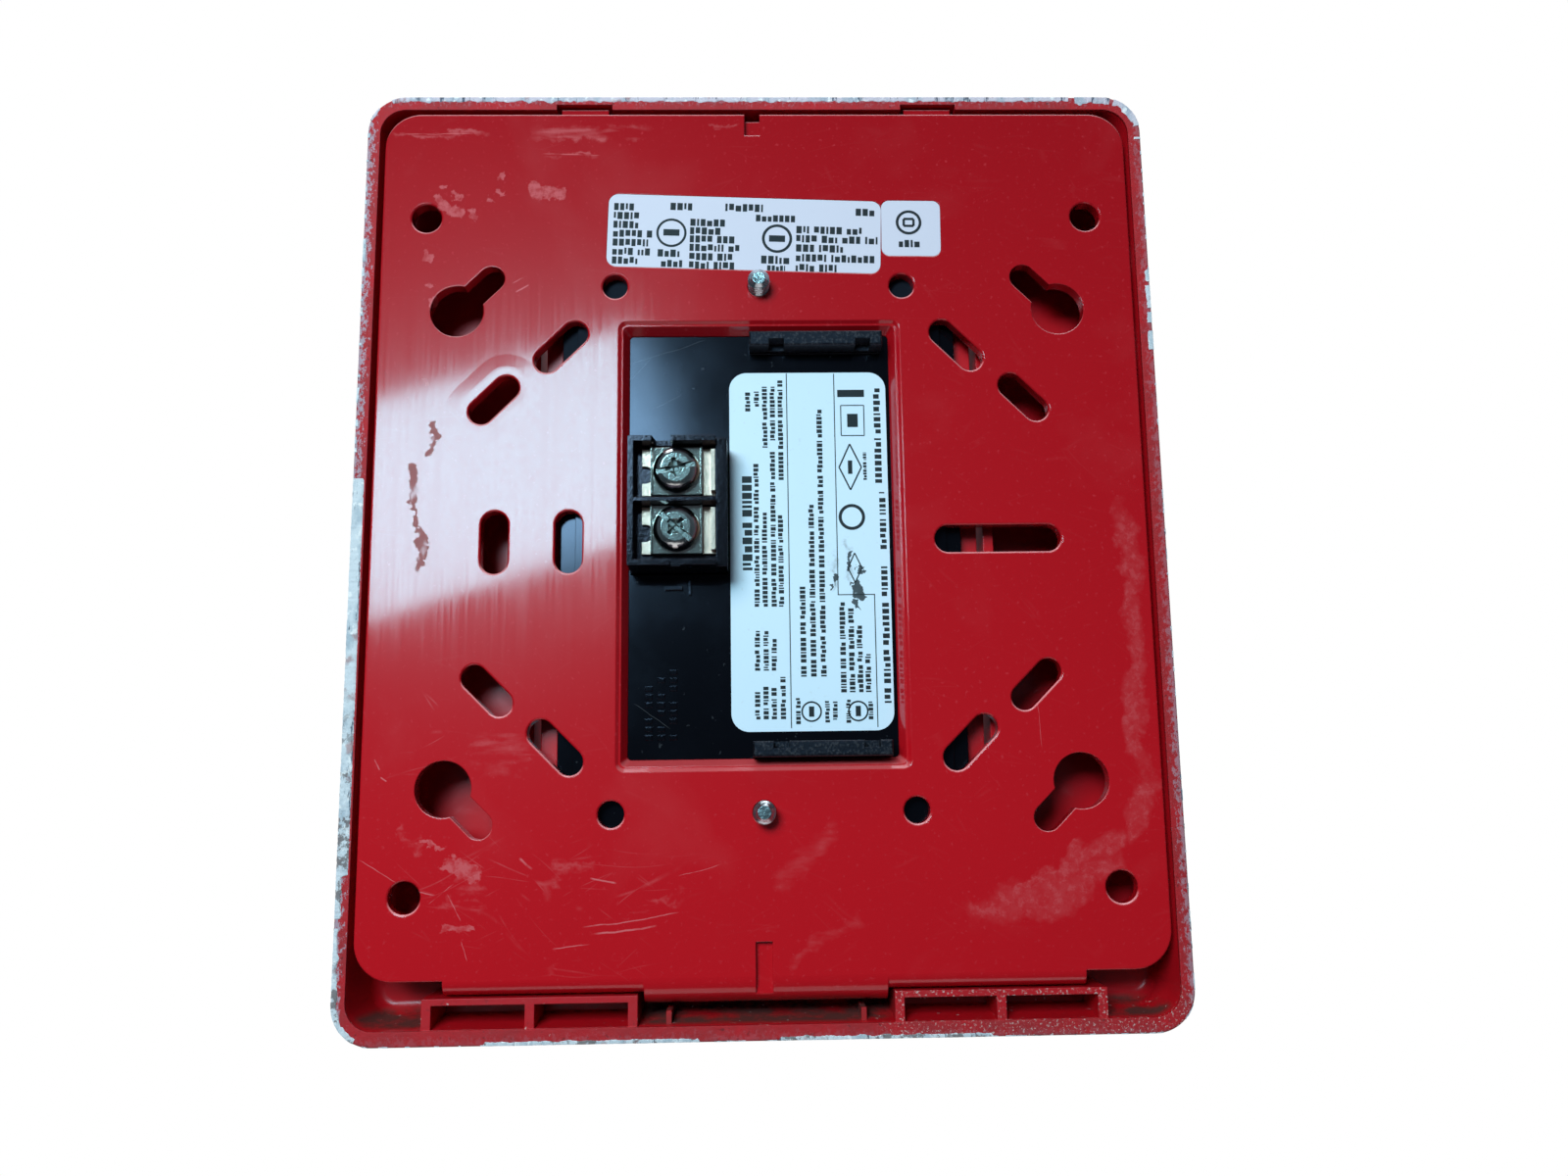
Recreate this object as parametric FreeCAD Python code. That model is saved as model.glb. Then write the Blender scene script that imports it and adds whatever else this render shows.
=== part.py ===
"""Wall-mounted fire alarm strobe with its clip-on trim frame and box mounting plate.

Row frame, millimetres: +Z is up on the wall, -Y points out of the wall into the room, and +X is to the right
for someone facing the unit. The origin is the centre of the plate's hole pattern, on the wall plane (Y = 0).
Depths are stated as Y values, so the plate's rear face is at 0 and everything in front of it is negative.
"""

import FreeCAD, Part
import math
import os

from FreeCAD import Vector

# ---- driving dimensions ------------------------------------------------------------------------------------

# Mounting plate
PLATE_HALF_WIDTH = 60.5
PLATE_TOP = 71.5
PLATE_BOTTOM = -65.4
PLATE_THICK = 2.4
PLATE_CORNER = 5.8
GANG_X, GANG_Z, GANG_R = 23.02, 41.67, 2.0  # two-gang electrical box: 46.04 x 83.34 mm
CORNER_XZ, CORNER_R = 53.4, 2.4  # surface screws: 106.8 mm square
KEY_BIG, KEY_BIG_R = (48.1, 37.6), 4.25  # keyholes: screw head side
KEY_SMALL, KEY_SMALL_R = (42.7, 43.0), 2.1  # keyholes: screw shank side
BOX_WINDOW_REAR = (43.9, 70.3)  # window for the electrical box, at the rear face
BOX_WINDOW_FRONT = (41.5, 67.6)
BOX_WINDOW_Z = 0.2
LIP_HALF_WIDTH = 47.4
LIP_MIDDLE_HALF = 18.0
LIP_MIDDLE_R, LIP_SIDE_R = 4.0, 2.2
TAB_X = (24.4, 32.1)  # the two tabs that the trim frame hangs on
TAB_TOP = 72.9
GROOVE_DEPTH = 0.95

# Trim frame: 5 x 5 7/8 x 1/2 inch
TRIM_WIDTH, TRIM_HEIGHT, TRIM_DEPTH = 127.0, 149.2, 12.7
TRIM_RIM = 2.1
TRIM_TAPER = 2.0  # per side, from the wall to the front face
TRIM_FLOOR = -10.7
TRIM_CORNER = 6.2
TRIM_OPENING = (70.8, 57.7, -58.2)  # width, top and bottom of the strobe opening
COLLAR_THICK, COLLAR_REAR = 1.6, -4.5
HANGER_NOTCH_X = (23.7, 32.8)
LATCH_X = (18.9, 50.4)
LATCH_TOP = -67.85
LATCH_WALL = 1.4

# Strobe
HOUSING_HALF = (31.6, 54.5)  # half width and half height of the black housing
REAR_FACE = -2.45
REAR_COVER_THICK = 1.95
HOUSING_FRONT = -19.0
HOUSING_WALL = 1.6
COVER_REAR = -5.4
COVER_FRONT = -22.0
COVER_HALF_REAR = (34.5, 56.8)
COVER_DRAFT = 0.9  # per side, from rear edge to front face
COVER_SKIN = 1.8
LENS_Z = -8.0
LENS_SIZE = (46.0, 34.0)
LENS_FRONT = -26.2
FLASH_LEAD_X = 21.0
FLASH_Y, FLASH_R, FLASH_LENGTH = -14.0, 1.9, 33.0
SCREW_SPACING = 41.67  # strobe screws, either side of the centre: single-gang 83.34 mm
SCREW_SEAT = -14.6
BOARD_REAR, BOARD_FRONT = -6.6, -8.2
BOARD_SCREW_XZ = (24.5, 46.5)

# Terminal block: two poles
TERM_X = (5.2, 20.3)
TERM_Z = (-4.8, 15.3)
TERM_MIDDLE_Z = 5.35
TERM_SCREW_X = 13.0
TERM_SCREW_Z = (1.2, 10.4)
TERM_BARRIER = 0.85
TERM_MIDDLE_BARRIER = 0.6
TERM_DECK = 1.1
TERM_TOP = 5.7
CONTACT_THICK = 0.8
CLAMP_HALF = (3.98, 3.75)
CLAMP_THICK = 0.8
TERM_HEAD = (3.6, 2.5)  # radius, height
TERM_THREAD_R = 2.05
THREAD_PITCH = 0.794  # 6-32 and 8-32 screws

# Candela selector
SELECTOR_Z = -33.2
SELECTOR_TRAVEL = 7.5
SELECTOR_REST_X = -SELECTOR_TRAVEL / 2

# Labels: width, height, corner radius, x, z and tilt in degrees
PLATE_LABEL = (44.2, 12.4, 1.6, 2.2, 50.6, -1.9)
APPROVAL_LABEL = (9.6, 9.5, 1.3, -24.85, 51.45, -0.7)
RATING_LABEL = (25.1, 57.4, 2.8, -7.65, -0.85, 0.0)
LABEL_THICK = 0.12
LABEL_GAP = 0.04


# ---- helpers -----------------------------------------------------------------------------------------------


def box(x, y, z):
    """A box from three (low, high) ranges."""
    size = [r[1] - r[0] for r in (x, y, z)]
    return Part.makeBox(*size, Vector(x[0], y[0], z[0]))


def rod(radius, x, z, y_from, y_to):
    """A cylinder along Y."""
    low, high = sorted((y_from, y_to))
    return Part.makeCylinder(radius, high - low, Vector(x, low, z), Vector(0, 1, 0))


def rounded(width, height, radius, y, x=0.0, z=0.0):
    """The outline of a rounded rectangle that faces along Y."""
    hw, hh, r = width / 2, height / 2, radius
    bend = r * (1 - math.sqrt(0.5))
    corners = [(1, 1), (-1, 1), (-1, -1), (1, -1)]
    points = []
    for sx, sz in corners:
        on_side = Vector(x + sx * hw, y, z + sz * (hh - r))
        middle = Vector(x + sx * (hw - bend), y, z + sz * (hh - bend))
        on_end = Vector(x + sx * (hw - r), y, z + sz * hh)
        points.append((on_side, middle, on_end) if sx * sz > 0 else (on_end, middle, on_side))
    edges = []
    for i, (start, middle, end) in enumerate(points):
        edges.append(Part.Arc(start, middle, end).toShape())
        edges.append(Part.LineSegment(end, points[(i + 1) % 4][0]).toShape())
    return Part.Wire(edges)


def slab(width, height, radius, y_from, y_to, x=0.0, z=0.0):
    """A rounded rectangle extruded between two depths."""
    face = Part.Face(rounded(width, height, radius, y_from, x, z))
    return face.extrude(Vector(0, y_to - y_from, 0))


def tapered(size_a, radius_a, y_a, size_b, radius_b, y_b, x=0.0, z=0.0):
    """A solid between two rounded rectangles at two depths."""
    ends = [rounded(*size_a, radius_a, y_a, x, z), rounded(*size_b, radius_b, y_b, x, z)]
    return Part.makeLoft(ends, True, True)


def slot(a, b, radius, y_from, y_to):
    """A straight slot through Y between two (x, z) centres."""
    along = Vector(b[0] - a[0], 0, b[1] - a[1])
    length = along.Length
    angle = -math.degrees(math.atan2(along.z, along.x))
    depth = abs(y_to - y_from)
    body = Part.makeBox(length, depth, 2 * radius, Vector(0, 0, -radius))
    body.rotate(Vector(0, 0, 0), Vector(0, 1, 0), angle)
    body.translate(Vector(a[0], min(y_from, y_to), a[1]))
    ends = [rod(radius, *p, y_from, y_to) for p in (a, b)]
    return body.fuse(ends)


def profile(points, x):
    """A solid from straight and curved runs in the YZ plane, extruded over an X range.

    Each entry is (y, z), or (y, z, y_mid, z_mid) where an arc through the middle point leads to it."""
    edges = []
    here = points[-1][:2]
    for p in points:
        start, end = Vector(x[0], *here), Vector(x[0], *p[:2])
        if len(p) == 4:
            edges.append(Part.Arc(start, Vector(x[0], *p[2:]), end).toShape())
        else:
            edges.append(Part.LineSegment(start, end).toShape())
        here = p[:2]
    return Part.Face(Part.Wire(edges)).extrude(Vector(x[1] - x[0], 0, 0))


def edges_where(shape, test):
    """The edges whose every sampled point passes the test."""
    found = []
    for edge in shape.Edges:
        samples = edge.discretize(Number=5)
        if all(test(p) for p in samples):
            found.append(edge)
    return found


def at_depth(y, tolerance=0.02):
    return lambda p: abs(p.y - y) < tolerance


def threaded_screw(x, z, seat, tip, head, thread_r, direction):
    """A pan-head machine screw along Y. direction is +1 if the tip points to +Y.

    head is (radius, height). The thread is a stack of rings at the screw's pitch."""
    head_r, head_h = head
    minor_r = thread_r - 0.32
    length = abs(tip - seat)
    crown = head_r * 0.62
    arc_mid = (head_r * 0.88, -head_h * 0.72)
    curve = Part.Arc(Vector(head_r, -head_h * 0.35, 0), Vector(*arc_mid, 0), Vector(crown, -head_h, 0))
    points = [(crown, -head_h), (0, -head_h), (0, length), (minor_r * 0.7, length)]
    along = length - 0.5
    while along > THREAD_PITCH + 0.4:
        crest = along - THREAD_PITCH * 0.4
        points += [(minor_r, along), (thread_r, crest), (thread_r, crest - THREAD_PITCH * 0.15)]
        along -= THREAD_PITCH
    points += [(minor_r, along), (minor_r, 0), (head_r, 0), (head_r, -head_h * 0.35)]
    vectors = [Vector(r, h, 0) for r, h in points]
    edges = [Part.LineSegment(a, b).toShape() for a, b in zip(vectors, vectors[1:])]
    half = Part.Face(Part.Wire([curve.toShape()] + edges))
    screw = half.revolve(Vector(0, 0, 0), Vector(0, 1, 0), 360)
    if direction < 0:
        screw.rotate(Vector(0, 0, 0), Vector(1, 0, 0), 180)
    screw.translate(Vector(x, seat, z))
    return screw


def driver_recess(x, z, top, inward, angle, size):
    """A cross recess with one full-length slot, cut into a screw head. inward is -1 or +1 along Y."""
    wing, depth = size * 0.46, size * 0.42
    cone = Part.makeCone(size * 0.34, size * 0.1, depth, Vector(0, 0, 0), Vector(0, 1, 0))
    cross = [
        Part.makeBox(2 * wing, depth * 0.8, size * 0.2, Vector(-wing, 0, -size * 0.1)),
        Part.makeBox(size * 0.2, depth * 0.8, 2 * wing, Vector(-size * 0.1, 0, -wing)),
        Part.makeBox(2.4 * size, depth * 0.4, size * 0.24, Vector(-1.2 * size, 0, -size * 0.12)),
    ]
    tool = cone.fuse(cross)
    if inward < 0:
        tool.rotate(Vector(0, 0, 0), Vector(1, 0, 0), 180)
    tool.rotate(Vector(0, 0, 0), Vector(0, 1, 0), angle)
    tool.translate(Vector(x, top, z))
    return tool


def mirror_pairs(values):
    """Every sign combination of an (x, z) position."""
    x, z = values
    return [(sx * x, sz * z) for sx in (-1, 1) for sz in (-1, 1)]


parts = {}


def keep(name, shape):
    """Registers a finished node, as one solid or a compound of separate solids."""
    solids = shape.Solids
    parts[name] = solids[0] if len(solids) == 1 else Part.makeCompound(solids)


# ---- mounting plate ----------------------------------------------------------------------------------------


def plate_blank():
    height = PLATE_TOP - PLATE_BOTTOM
    middle = (PLATE_TOP + PLATE_BOTTOM) / 2
    blank = slab(2 * PLATE_HALF_WIDTH, height, PLATE_CORNER, 0, -PLATE_THICK, z=middle)
    blank = blank.makeFillet(0.3, edges_where(blank, at_depth(0)))
    tabs = [box((s * TAB_X[0], s * TAB_X[1]) if s > 0 else (-TAB_X[1], -TAB_X[0]),
                (-PLATE_THICK, -PLATE_THICK / 2), (PLATE_TOP - 1, TAB_TOP)) for s in (-1, 1)]
    return blank.fuse(tabs + plate_lip())


def plate_lip():
    """The bottom edge curls forward: a deep lip in the middle and a shallow one where the latches sit."""
    z0, half_turn = PLATE_BOTTOM, math.sqrt(0.5)
    r, inner = LIP_MIDDLE_R, LIP_MIDDLE_R - PLATE_THICK
    reach = -r - 3.5
    deep = profile([
        (0, z0 + 1),
        (0, z0),
        (-r, z0 - r, -r + r * half_turn, z0 - r * half_turn),
        (reach, z0 - r),
        (reach, z0 - inner),
        (-r, z0 - inner),
        (-PLATE_THICK, z0, -r + inner * half_turn, z0 - inner * half_turn),
        (-PLATE_THICK, z0 + 1),
    ], (-LIP_MIDDLE_HALF, LIP_MIDDLE_HALF))
    r = LIP_SIDE_R
    shallow = [
        (0, z0 + 1),
        (0, z0),
        (-r, z0 - r, -r + r * half_turn, z0 - r * half_turn),
        (-4.0, z0 - r),
        (-4.0, z0 + 1),
    ]
    spans = ((LIP_MIDDLE_HALF, LIP_HALF_WIDTH), (-LIP_HALF_WIDTH, -LIP_MIDDLE_HALF))
    sides = [profile(shallow, x) for x in spans]
    return [deep] + sides


def plate_hole_cutters():
    """Every screw hole, slot and keyhole that lets the plate fit the common electrical boxes."""
    out, through = 1.0, -PLATE_THICK - 1.0
    cutters = [rod(GANG_R, x, z, out, through) for x, z in mirror_pairs((GANG_X, GANG_Z))]
    cutters += [rod(CORNER_R, x, z, out, through) for x, z in mirror_pairs((CORNER_XZ, CORNER_XZ))]
    for sx, sz in mirror_pairs((1, 1)):
        big = (sx * KEY_BIG[0], sz * KEY_BIG[1])
        small = (sx * KEY_SMALL[0], sz * KEY_SMALL[1])
        cutters.append(rod(KEY_BIG_R, *big, out, through).fuse(slot(big, small, KEY_SMALL_R, out, through)))
        for (cx, cz), reach, radius in (((31.5, 31.6), 2.2, 2.05), ((41.95, 22.9), 1.95, 2.0)):
            a = (sx * (cx - reach), sz * (cz + reach))
            b = (sx * (cx + reach), sz * (cz - reach))
            cutters.append(slot(a, b, radius, out, through))
    for x in (29.9, 41.35):
        cutters.append(slot((x, -2.8), (x, 2.8), 2.12, out, through))
    cutters.append(slot((-29.2, 0), (-44.7, 0), 2.15, out, through))
    cutters += [rod(1.8, 0, z, out, through) for z in (-SCREW_SPACING, SCREW_SPACING)]
    return cutters


def mounting_plate():
    plate = plate_blank()
    plate = plate.cut(plate_hole_cutters())
    window = tapered(BOX_WINDOW_REAR, 0.9, 0, BOX_WINDOW_FRONT, 0.6, -PLATE_THICK, z=BOX_WINDOW_Z)
    bevel_size = (BOX_WINDOW_REAR[0] + 1.0, BOX_WINDOW_REAR[1] + 1.0)
    bevel = tapered(bevel_size, 1.4, 0, BOX_WINDOW_REAR, 0.9, -0.5, z=BOX_WINDOW_Z)
    top_notch = [box((-0.45, 2.05), (-1.1, 1), (67.7, PLATE_TOP + 2)),
                 box((-0.45, 2.05), (-PLATE_THICK - 1, 1), (PLATE_TOP - 0.8, PLATE_TOP + 2))]
    groove = box((-1.0, 1.5), (-GROOVE_DEPTH, 1), (-71.0, -60.5))
    pockets = [label_pocket(label) for label in (PLATE_LABEL, APPROVAL_LABEL)]
    plate = plate.cut([window, bevel, groove] + top_notch + pockets)
    rims = edges_where(plate, lambda p: abs(p.y) < 0.01 and is_on_hole(p))
    return plate.makeChamfer(0.22, rims)


def is_on_hole(p):
    """True for points on the round corner and gang holes and on the straight slots."""
    x, z = abs(p.x), abs(p.z)
    round_holes = ((GANG_X, GANG_Z, GANG_R), (CORNER_XZ, CORNER_XZ, CORNER_R))
    if any(abs(math.hypot(x - cx, z - cz) - r) < 0.05 for cx, cz, r in round_holes):
        return True
    in_slots = 26.0 < x < 47.5 and (z < 5.2 or 18.5 < z < 36.5)
    beside_keyhole = math.hypot(x - KEY_BIG[0], z - KEY_BIG[1]) < KEY_BIG_R + 0.3
    return in_slots and not beside_keyhole


# ---- trim frame --------------------------------------------------------------------------------------------


def trim_outside():
    front = (TRIM_WIDTH - 2 * TRIM_TAPER, TRIM_HEIGHT - 2 * TRIM_TAPER)
    shell = tapered((TRIM_WIDTH, TRIM_HEIGHT), TRIM_CORNER, 0, front, 5.0, -TRIM_DEPTH)
    shell = shell.makeFillet(3.0, edges_where(shell, at_depth(-TRIM_DEPTH)))
    return shell.makeFillet(0.35, edges_where(shell, at_depth(0)))


def trim_cavity():
    rear = (TRIM_WIDTH - 2 * TRIM_RIM, TRIM_HEIGHT - 2 * TRIM_RIM - 0.4)
    floor = (rear[0] - 2.4, rear[1] - 2.4)
    cavity = tapered(rear, TRIM_CORNER - TRIM_RIM, 0, floor, 3.4, TRIM_FLOOR)
    return cavity.makeFillet(1.8, edges_where(cavity, at_depth(TRIM_FLOOR)))


def latch_block(side):
    """A cored block on the bottom wall, with three walls and two open cells."""
    x0, x1 = LATCH_X
    middle = (x0 + x1) / 2
    block = box((x0, x1), (TRIM_FLOOR - 0.2, -0.3), (-73.2, LATCH_TOP))
    cells = [box((x0 + LATCH_WALL, middle - LATCH_WALL / 2), (-9.4, 1), (-72.2, LATCH_TOP - 0.95)),
             box((middle + LATCH_WALL / 2, x1 - LATCH_WALL), (-9.4, 1), (-72.2, LATCH_TOP - 0.95))]
    block = block.cut(cells)
    return block if side > 0 else block.mirror(Vector(0, 0, 0), Vector(1, 0, 0))


def trim_frame():
    width, top, bottom = TRIM_OPENING
    height, centre = top - bottom, (top + bottom) / 2
    around = (width + 2 * COLLAR_THICK, height + 2 * COLLAR_THICK)
    collar = slab(*around, 5.6, COLLAR_REAR, TRIM_FLOOR - 0.5, z=centre)
    ribs = [box((x - 0.4, x + 0.4), (TRIM_FLOOR - 0.2, -1.6), (-73.0, -70.3)) for x in (-14.4, 14.4)]
    outside = trim_outside()
    blocks = [part.common(outside) for part in [latch_block(1), latch_block(-1)] + ribs]
    frame = outside.cut(trim_cavity()).fuse([collar] + blocks)
    opening = slab(width, height, 4.0, 1, -TRIM_DEPTH - 1, z=centre)
    frame = frame.cut(opening)
    lip = edges_where(frame, lambda p: abs(p.y + TRIM_DEPTH) < 0.02 and abs(p.x) < width / 2 + 0.1)
    frame = frame.makeFillet(0.7, lip)
    notches = [box((min(s * a, s * b), max(s * a, s * b)), (-4.0, 1), (71.0, 73.2))
               for s in (-1, 1) for a, b in (HANGER_NOTCH_X,)]
    return frame.cut(notches)


# ---- labels ------------------------------------------------------------------------------------------------


def sticker(label, outer, thick=LABEL_THICK, grow=0.0):
    """A thin label whose rear-facing side is at depth outer."""
    width, height, radius, x, z, tilt = label
    film = slab(width + 2 * grow, height + 2 * grow, radius + grow, outer - thick, outer)
    film.rotate(Vector(0, 0, 0), Vector(0, 1, 0), tilt)
    film.translate(Vector(x, 0, z))
    return film


def label_pocket(label):
    """The hollow that sinks a label into the plate, so that the rear face lies flat on the wall."""
    return sticker(label, 1.0, thick=1.0 + LABEL_THICK, grow=LABEL_GAP)


# ---- strobe housing ----------------------------------------------------------------------------------------


def rear_cover():
    """The black rear cover: a stepped edge, two locating tongues and the terminal block's opening."""
    w, h = 2 * HOUSING_HALF[0], 2 * HOUSING_HALF[1]
    inner = REAR_FACE - REAR_COVER_THICK
    cover = slab(w, h, 3.0, REAR_FACE - 0.8, inner).fuse(slab(w - 4.8, h - 4.8, 2.0, REAR_FACE, inner))
    tongues = []
    for low, high, notch in ((31.1, 33.5, (30.9, 32.2)), (-33.5, -31.1, (-32.2, -30.9))):
        tongue = box((-19.5, 1.6), (inner, 1.7), (low, high))
        tongue = tongue.makeFillet(0.35, edges_where(tongue, at_depth(1.7)))
        notches = [box((x, x + 2.4), (-1.2, 3), notch) for x in (-3.9, -17.6)]
        tongues.append(tongue.cut(notches))
    keeper = [box((12.4, 15.1), (REAR_FACE - 0.3, REAR_FACE + 0.7), (-7.4, -6.8)),
              box((11.0, 11.4), (REAR_FACE - 0.3, REAR_FACE + 0.5), (-8.2, -6.0))]
    cover = cover.fuse(tongues + keeper + moulding_marks())
    around_block = [(low - 0.15, high + 0.15) for low, high in (TERM_X, TERM_Z)]
    opening = box(around_block[0], (-10, 5), around_block[1])
    holes = [rod(2.1, 0, z, 1, -10) for z in (-SCREW_SPACING, SCREW_SPACING)]
    return cover.cut([opening] + holes)


def moulding_marks():
    """Three short rows of raised dashes beside the label."""
    marks = []
    for row in range(3):
        for k in range(7 + row):
            if (row + k) % 4 == 3:
                continue
            x = 17.6 - 1.9 * row
            z = -30.6 + 1.25 * k
            marks.append(box((x - 0.55, x + 0.55), (REAR_FACE - 0.2, REAR_FACE + 0.14), (z, z + 0.7)))
    return marks


def strobe_housing():
    """The black tray that carries the board, the reflector and the lens. It opens to the rear."""
    w, h = 2 * HOUSING_HALF[0], 2 * HOUSING_HALF[1]
    rear = REAR_FACE - REAR_COVER_THICK - 0.02
    inside = HOUSING_FRONT + HOUSING_WALL
    tray = slab(w, h, 3.0, rear, HOUSING_FRONT)
    tray = tray.makeFillet(0.8, edges_where(tray, at_depth(HOUSING_FRONT)))
    tray = tray.cut(slab(w - 2 * HOUSING_WALL, h - 2 * HOUSING_WALL, 1.6, rear + 1, inside))
    posts = [rod(4.3, 0, z, rear, inside - 0.2) for z in (-SCREW_SPACING, SCREW_SPACING)]
    posts += [rod(2.5, x, z, BOARD_FRONT - 0.02, inside - 0.2) for x, z in mirror_pairs(BOARD_SCREW_XZ)]
    bumps = [box((-5, 5), (-13, -11), (min(s * 54.0, s * 54.8), max(s * 54.0, s * 54.8))) for s in (-1, 1)]
    tray = tray.fuse(posts + bumps)
    cutters = [slab(LENS_SIZE[0] - 2.0, LENS_SIZE[1] - 2.0, 4.6, rear, HOUSING_FRONT - 1, z=LENS_Z)]
    cutters.append(slab(SELECTOR_TRAVEL + 4.2, 2.8, 0.4, rear, HOUSING_FRONT - 1, z=SELECTOR_Z))
    for z in (-SCREW_SPACING, SCREW_SPACING):
        cutters += [rod(2.0, 0, z, 1, -25), rod(3.8, 0, z, SCREW_SEAT, -25)]
    cutters += [rod(0.95, x, z, BOARD_FRONT + 1, BOARD_FRONT - 6) for x, z in mirror_pairs(BOARD_SCREW_XZ)]
    return tray.cut(cutters)


def strobe_cover():
    """The red front cover: a drafted shell with a raised bezel round the lens and a small setting window."""
    rear = [2 * v for v in COVER_HALF_REAR]
    front = [v - 2 * COVER_DRAFT for v in rear]
    shell = tapered(rear, 4.4, COVER_REAR, front, 4.0, COVER_FRONT)
    shell = shell.makeFillet(2.6, edges_where(shell, at_depth(COVER_FRONT)))
    bezel_size = (LENS_SIZE[0] + 6.4, LENS_SIZE[1] + 6.4)
    bezel_front = [v - 1.6 for v in bezel_size]
    bezel = tapered(bezel_size, 8.4, COVER_FRONT + 0.6, bezel_front, 7.6, COVER_FRONT - 1.1, z=LENS_Z)
    bezel = bezel.makeFillet(0.5, edges_where(bezel, at_depth(COVER_FRONT - 1.1)))
    shell = shell.fuse(bezel)
    inside = [2 * v + 0.7 for v in HOUSING_HALF]
    cavity = slab(*inside, 3.2, 0, COVER_FRONT + COVER_SKIN)
    aperture = slab(LENS_SIZE[0] + 0.8, LENS_SIZE[1] + 0.8, 5.9, 0, COVER_FRONT - 4, z=LENS_Z)
    setting = slab(14.0, 4.0, 0.8, 0, COVER_FRONT - 4, z=SELECTOR_Z)
    pry = box((-4.0, 4.0), (COVER_REAR - 1.4, 0), (-60, -54))
    return shell.cut([cavity, aperture, setting, pry])


def setting_window():
    pane = slab(13.8, 3.8, 0.7, COVER_FRONT + COVER_SKIN + 0.02, COVER_FRONT - 0.15, z=SELECTOR_Z)
    return pane.makeFillet(0.25, edges_where(pane, at_depth(COVER_FRONT - 0.15)))


# ---- optics ------------------------------------------------------------------------------------------------


def lens():
    """A clear domed lens with a flange on the housing and a skirt inside its opening."""
    w, h = LENS_SIZE
    crown = (w - 9.0, h - 9.0)
    dome = tapered((w, h), 5.5, HOUSING_FRONT - 0.05, crown, 4.5, LENS_FRONT, z=LENS_Z)
    dome = dome.makeFillet(2.2, edges_where(dome, at_depth(LENS_FRONT)))
    flange = slab(w + 4.0, h + 4.0, 7.0, HOUSING_FRONT - 0.05, HOUSING_FRONT - 0.95, z=LENS_Z)
    skirt = slab(w - 2.3, h - 2.3, 4.4, HOUSING_FRONT + 1.4, HOUSING_FRONT - 0.5, z=LENS_Z)
    wide, narrow = (w - 4.8, h - 4.8), (w - 12.5, h - 12.5)
    hollow = tapered(wide, 3.4, HOUSING_FRONT + 1.5, narrow, 3.0, LENS_FRONT + 1.5, z=LENS_Z)
    return dome.fuse([flange, skirt]).cut(hollow)


def reflector():
    """A bright trough behind the flash tube, with end walls and a narrow rim."""
    mouth, throat = (41.0, 28.8), (33.0, 9.0)
    y_mouth, y_throat = -17.3, -9.6
    outer = tapered(mouth, 3.0, y_mouth, throat, 2.0, y_throat, z=LENS_Z)
    inner_mouth, inner_throat = [v - 1.6 for v in mouth], [v - 1.6 for v in throat]
    inner = tapered(inner_mouth, 2.4, y_mouth - 0.01, inner_throat, 1.4, y_throat - 0.8, z=LENS_Z)
    tube_holes = Part.makeCylinder(FLASH_R + 0.6, 60, Vector(-30, FLASH_Y, LENS_Z), Vector(1, 0, 0))
    return outer.cut([inner, tube_holes])


def flash_tube():
    half = FLASH_LENGTH / 2
    tube = Part.makeCylinder(FLASH_R, FLASH_LENGTH, Vector(-half, FLASH_Y, LENS_Z), Vector(1, 0, 0))
    tube = tube.makeFillet(0.9, edges_where(tube, lambda p: abs(abs(p.x) - half) < 0.01))
    bore_start = Vector(-half + 2.5, FLASH_Y, LENS_Z)
    return tube.cut(Part.makeCylinder(FLASH_R - 0.7, FLASH_LENGTH - 5, bore_start, Vector(1, 0, 0)))


def flash_tube_leads():
    """The two wires from the ends of the tube, each bent down into the board."""
    leads = []
    for s in (-1, 1):
        start = Vector(s * (FLASH_LENGTH / 2 + 0.05), FLASH_Y, LENS_Z)
        out = Part.makeCylinder(0.4, 4.7, start, Vector(s, 0, 0))
        down = Part.makeCylinder(0.4, 6.4, Vector(s * FLASH_LEAD_X, FLASH_Y - 0.2, LENS_Z), Vector(0, 1, 0))
        leads.append(out.fuse(down))
    return Part.makeCompound(leads)


# ---- electronics -------------------------------------------------------------------------------------------


def circuit_board():
    board = slab(58.0, 103.0, 1.5, BOARD_REAR, BOARD_FRONT)
    cutters = [rod(4.6, 0, z, 0, -12) for z in (-SCREW_SPACING, SCREW_SPACING)]
    cutters += [rod(1.15, x, z, 0, -12) for x, z in mirror_pairs(BOARD_SCREW_XZ)]
    cutters += [rod(0.75, TERM_SCREW_X - 4.0, z, 0, -12) for z in TERM_SCREW_Z]
    cutters += [rod(0.5, s * FLASH_LEAD_X, LENS_Z, 0, -12) for s in (-1, 1)]
    return board.cut(cutters)


def board_screws():
    screws = []
    for x, z in mirror_pairs(BOARD_SCREW_XZ):
        head = rod(1.9, x, z, BOARD_REAR + 1.3, BOARD_REAR)
        head = head.makeFillet(0.5, edges_where(head, at_depth(BOARD_REAR + 1.3)))
        shank = rod(0.9, x, z, BOARD_REAR, BOARD_FRONT - 4.5)
        screws.append(head.fuse(shank).cut(driver_recess(x, z, BOARD_REAR + 1.3, -1, 20, 1.9)))
    return Part.makeCompound(screws)


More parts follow.
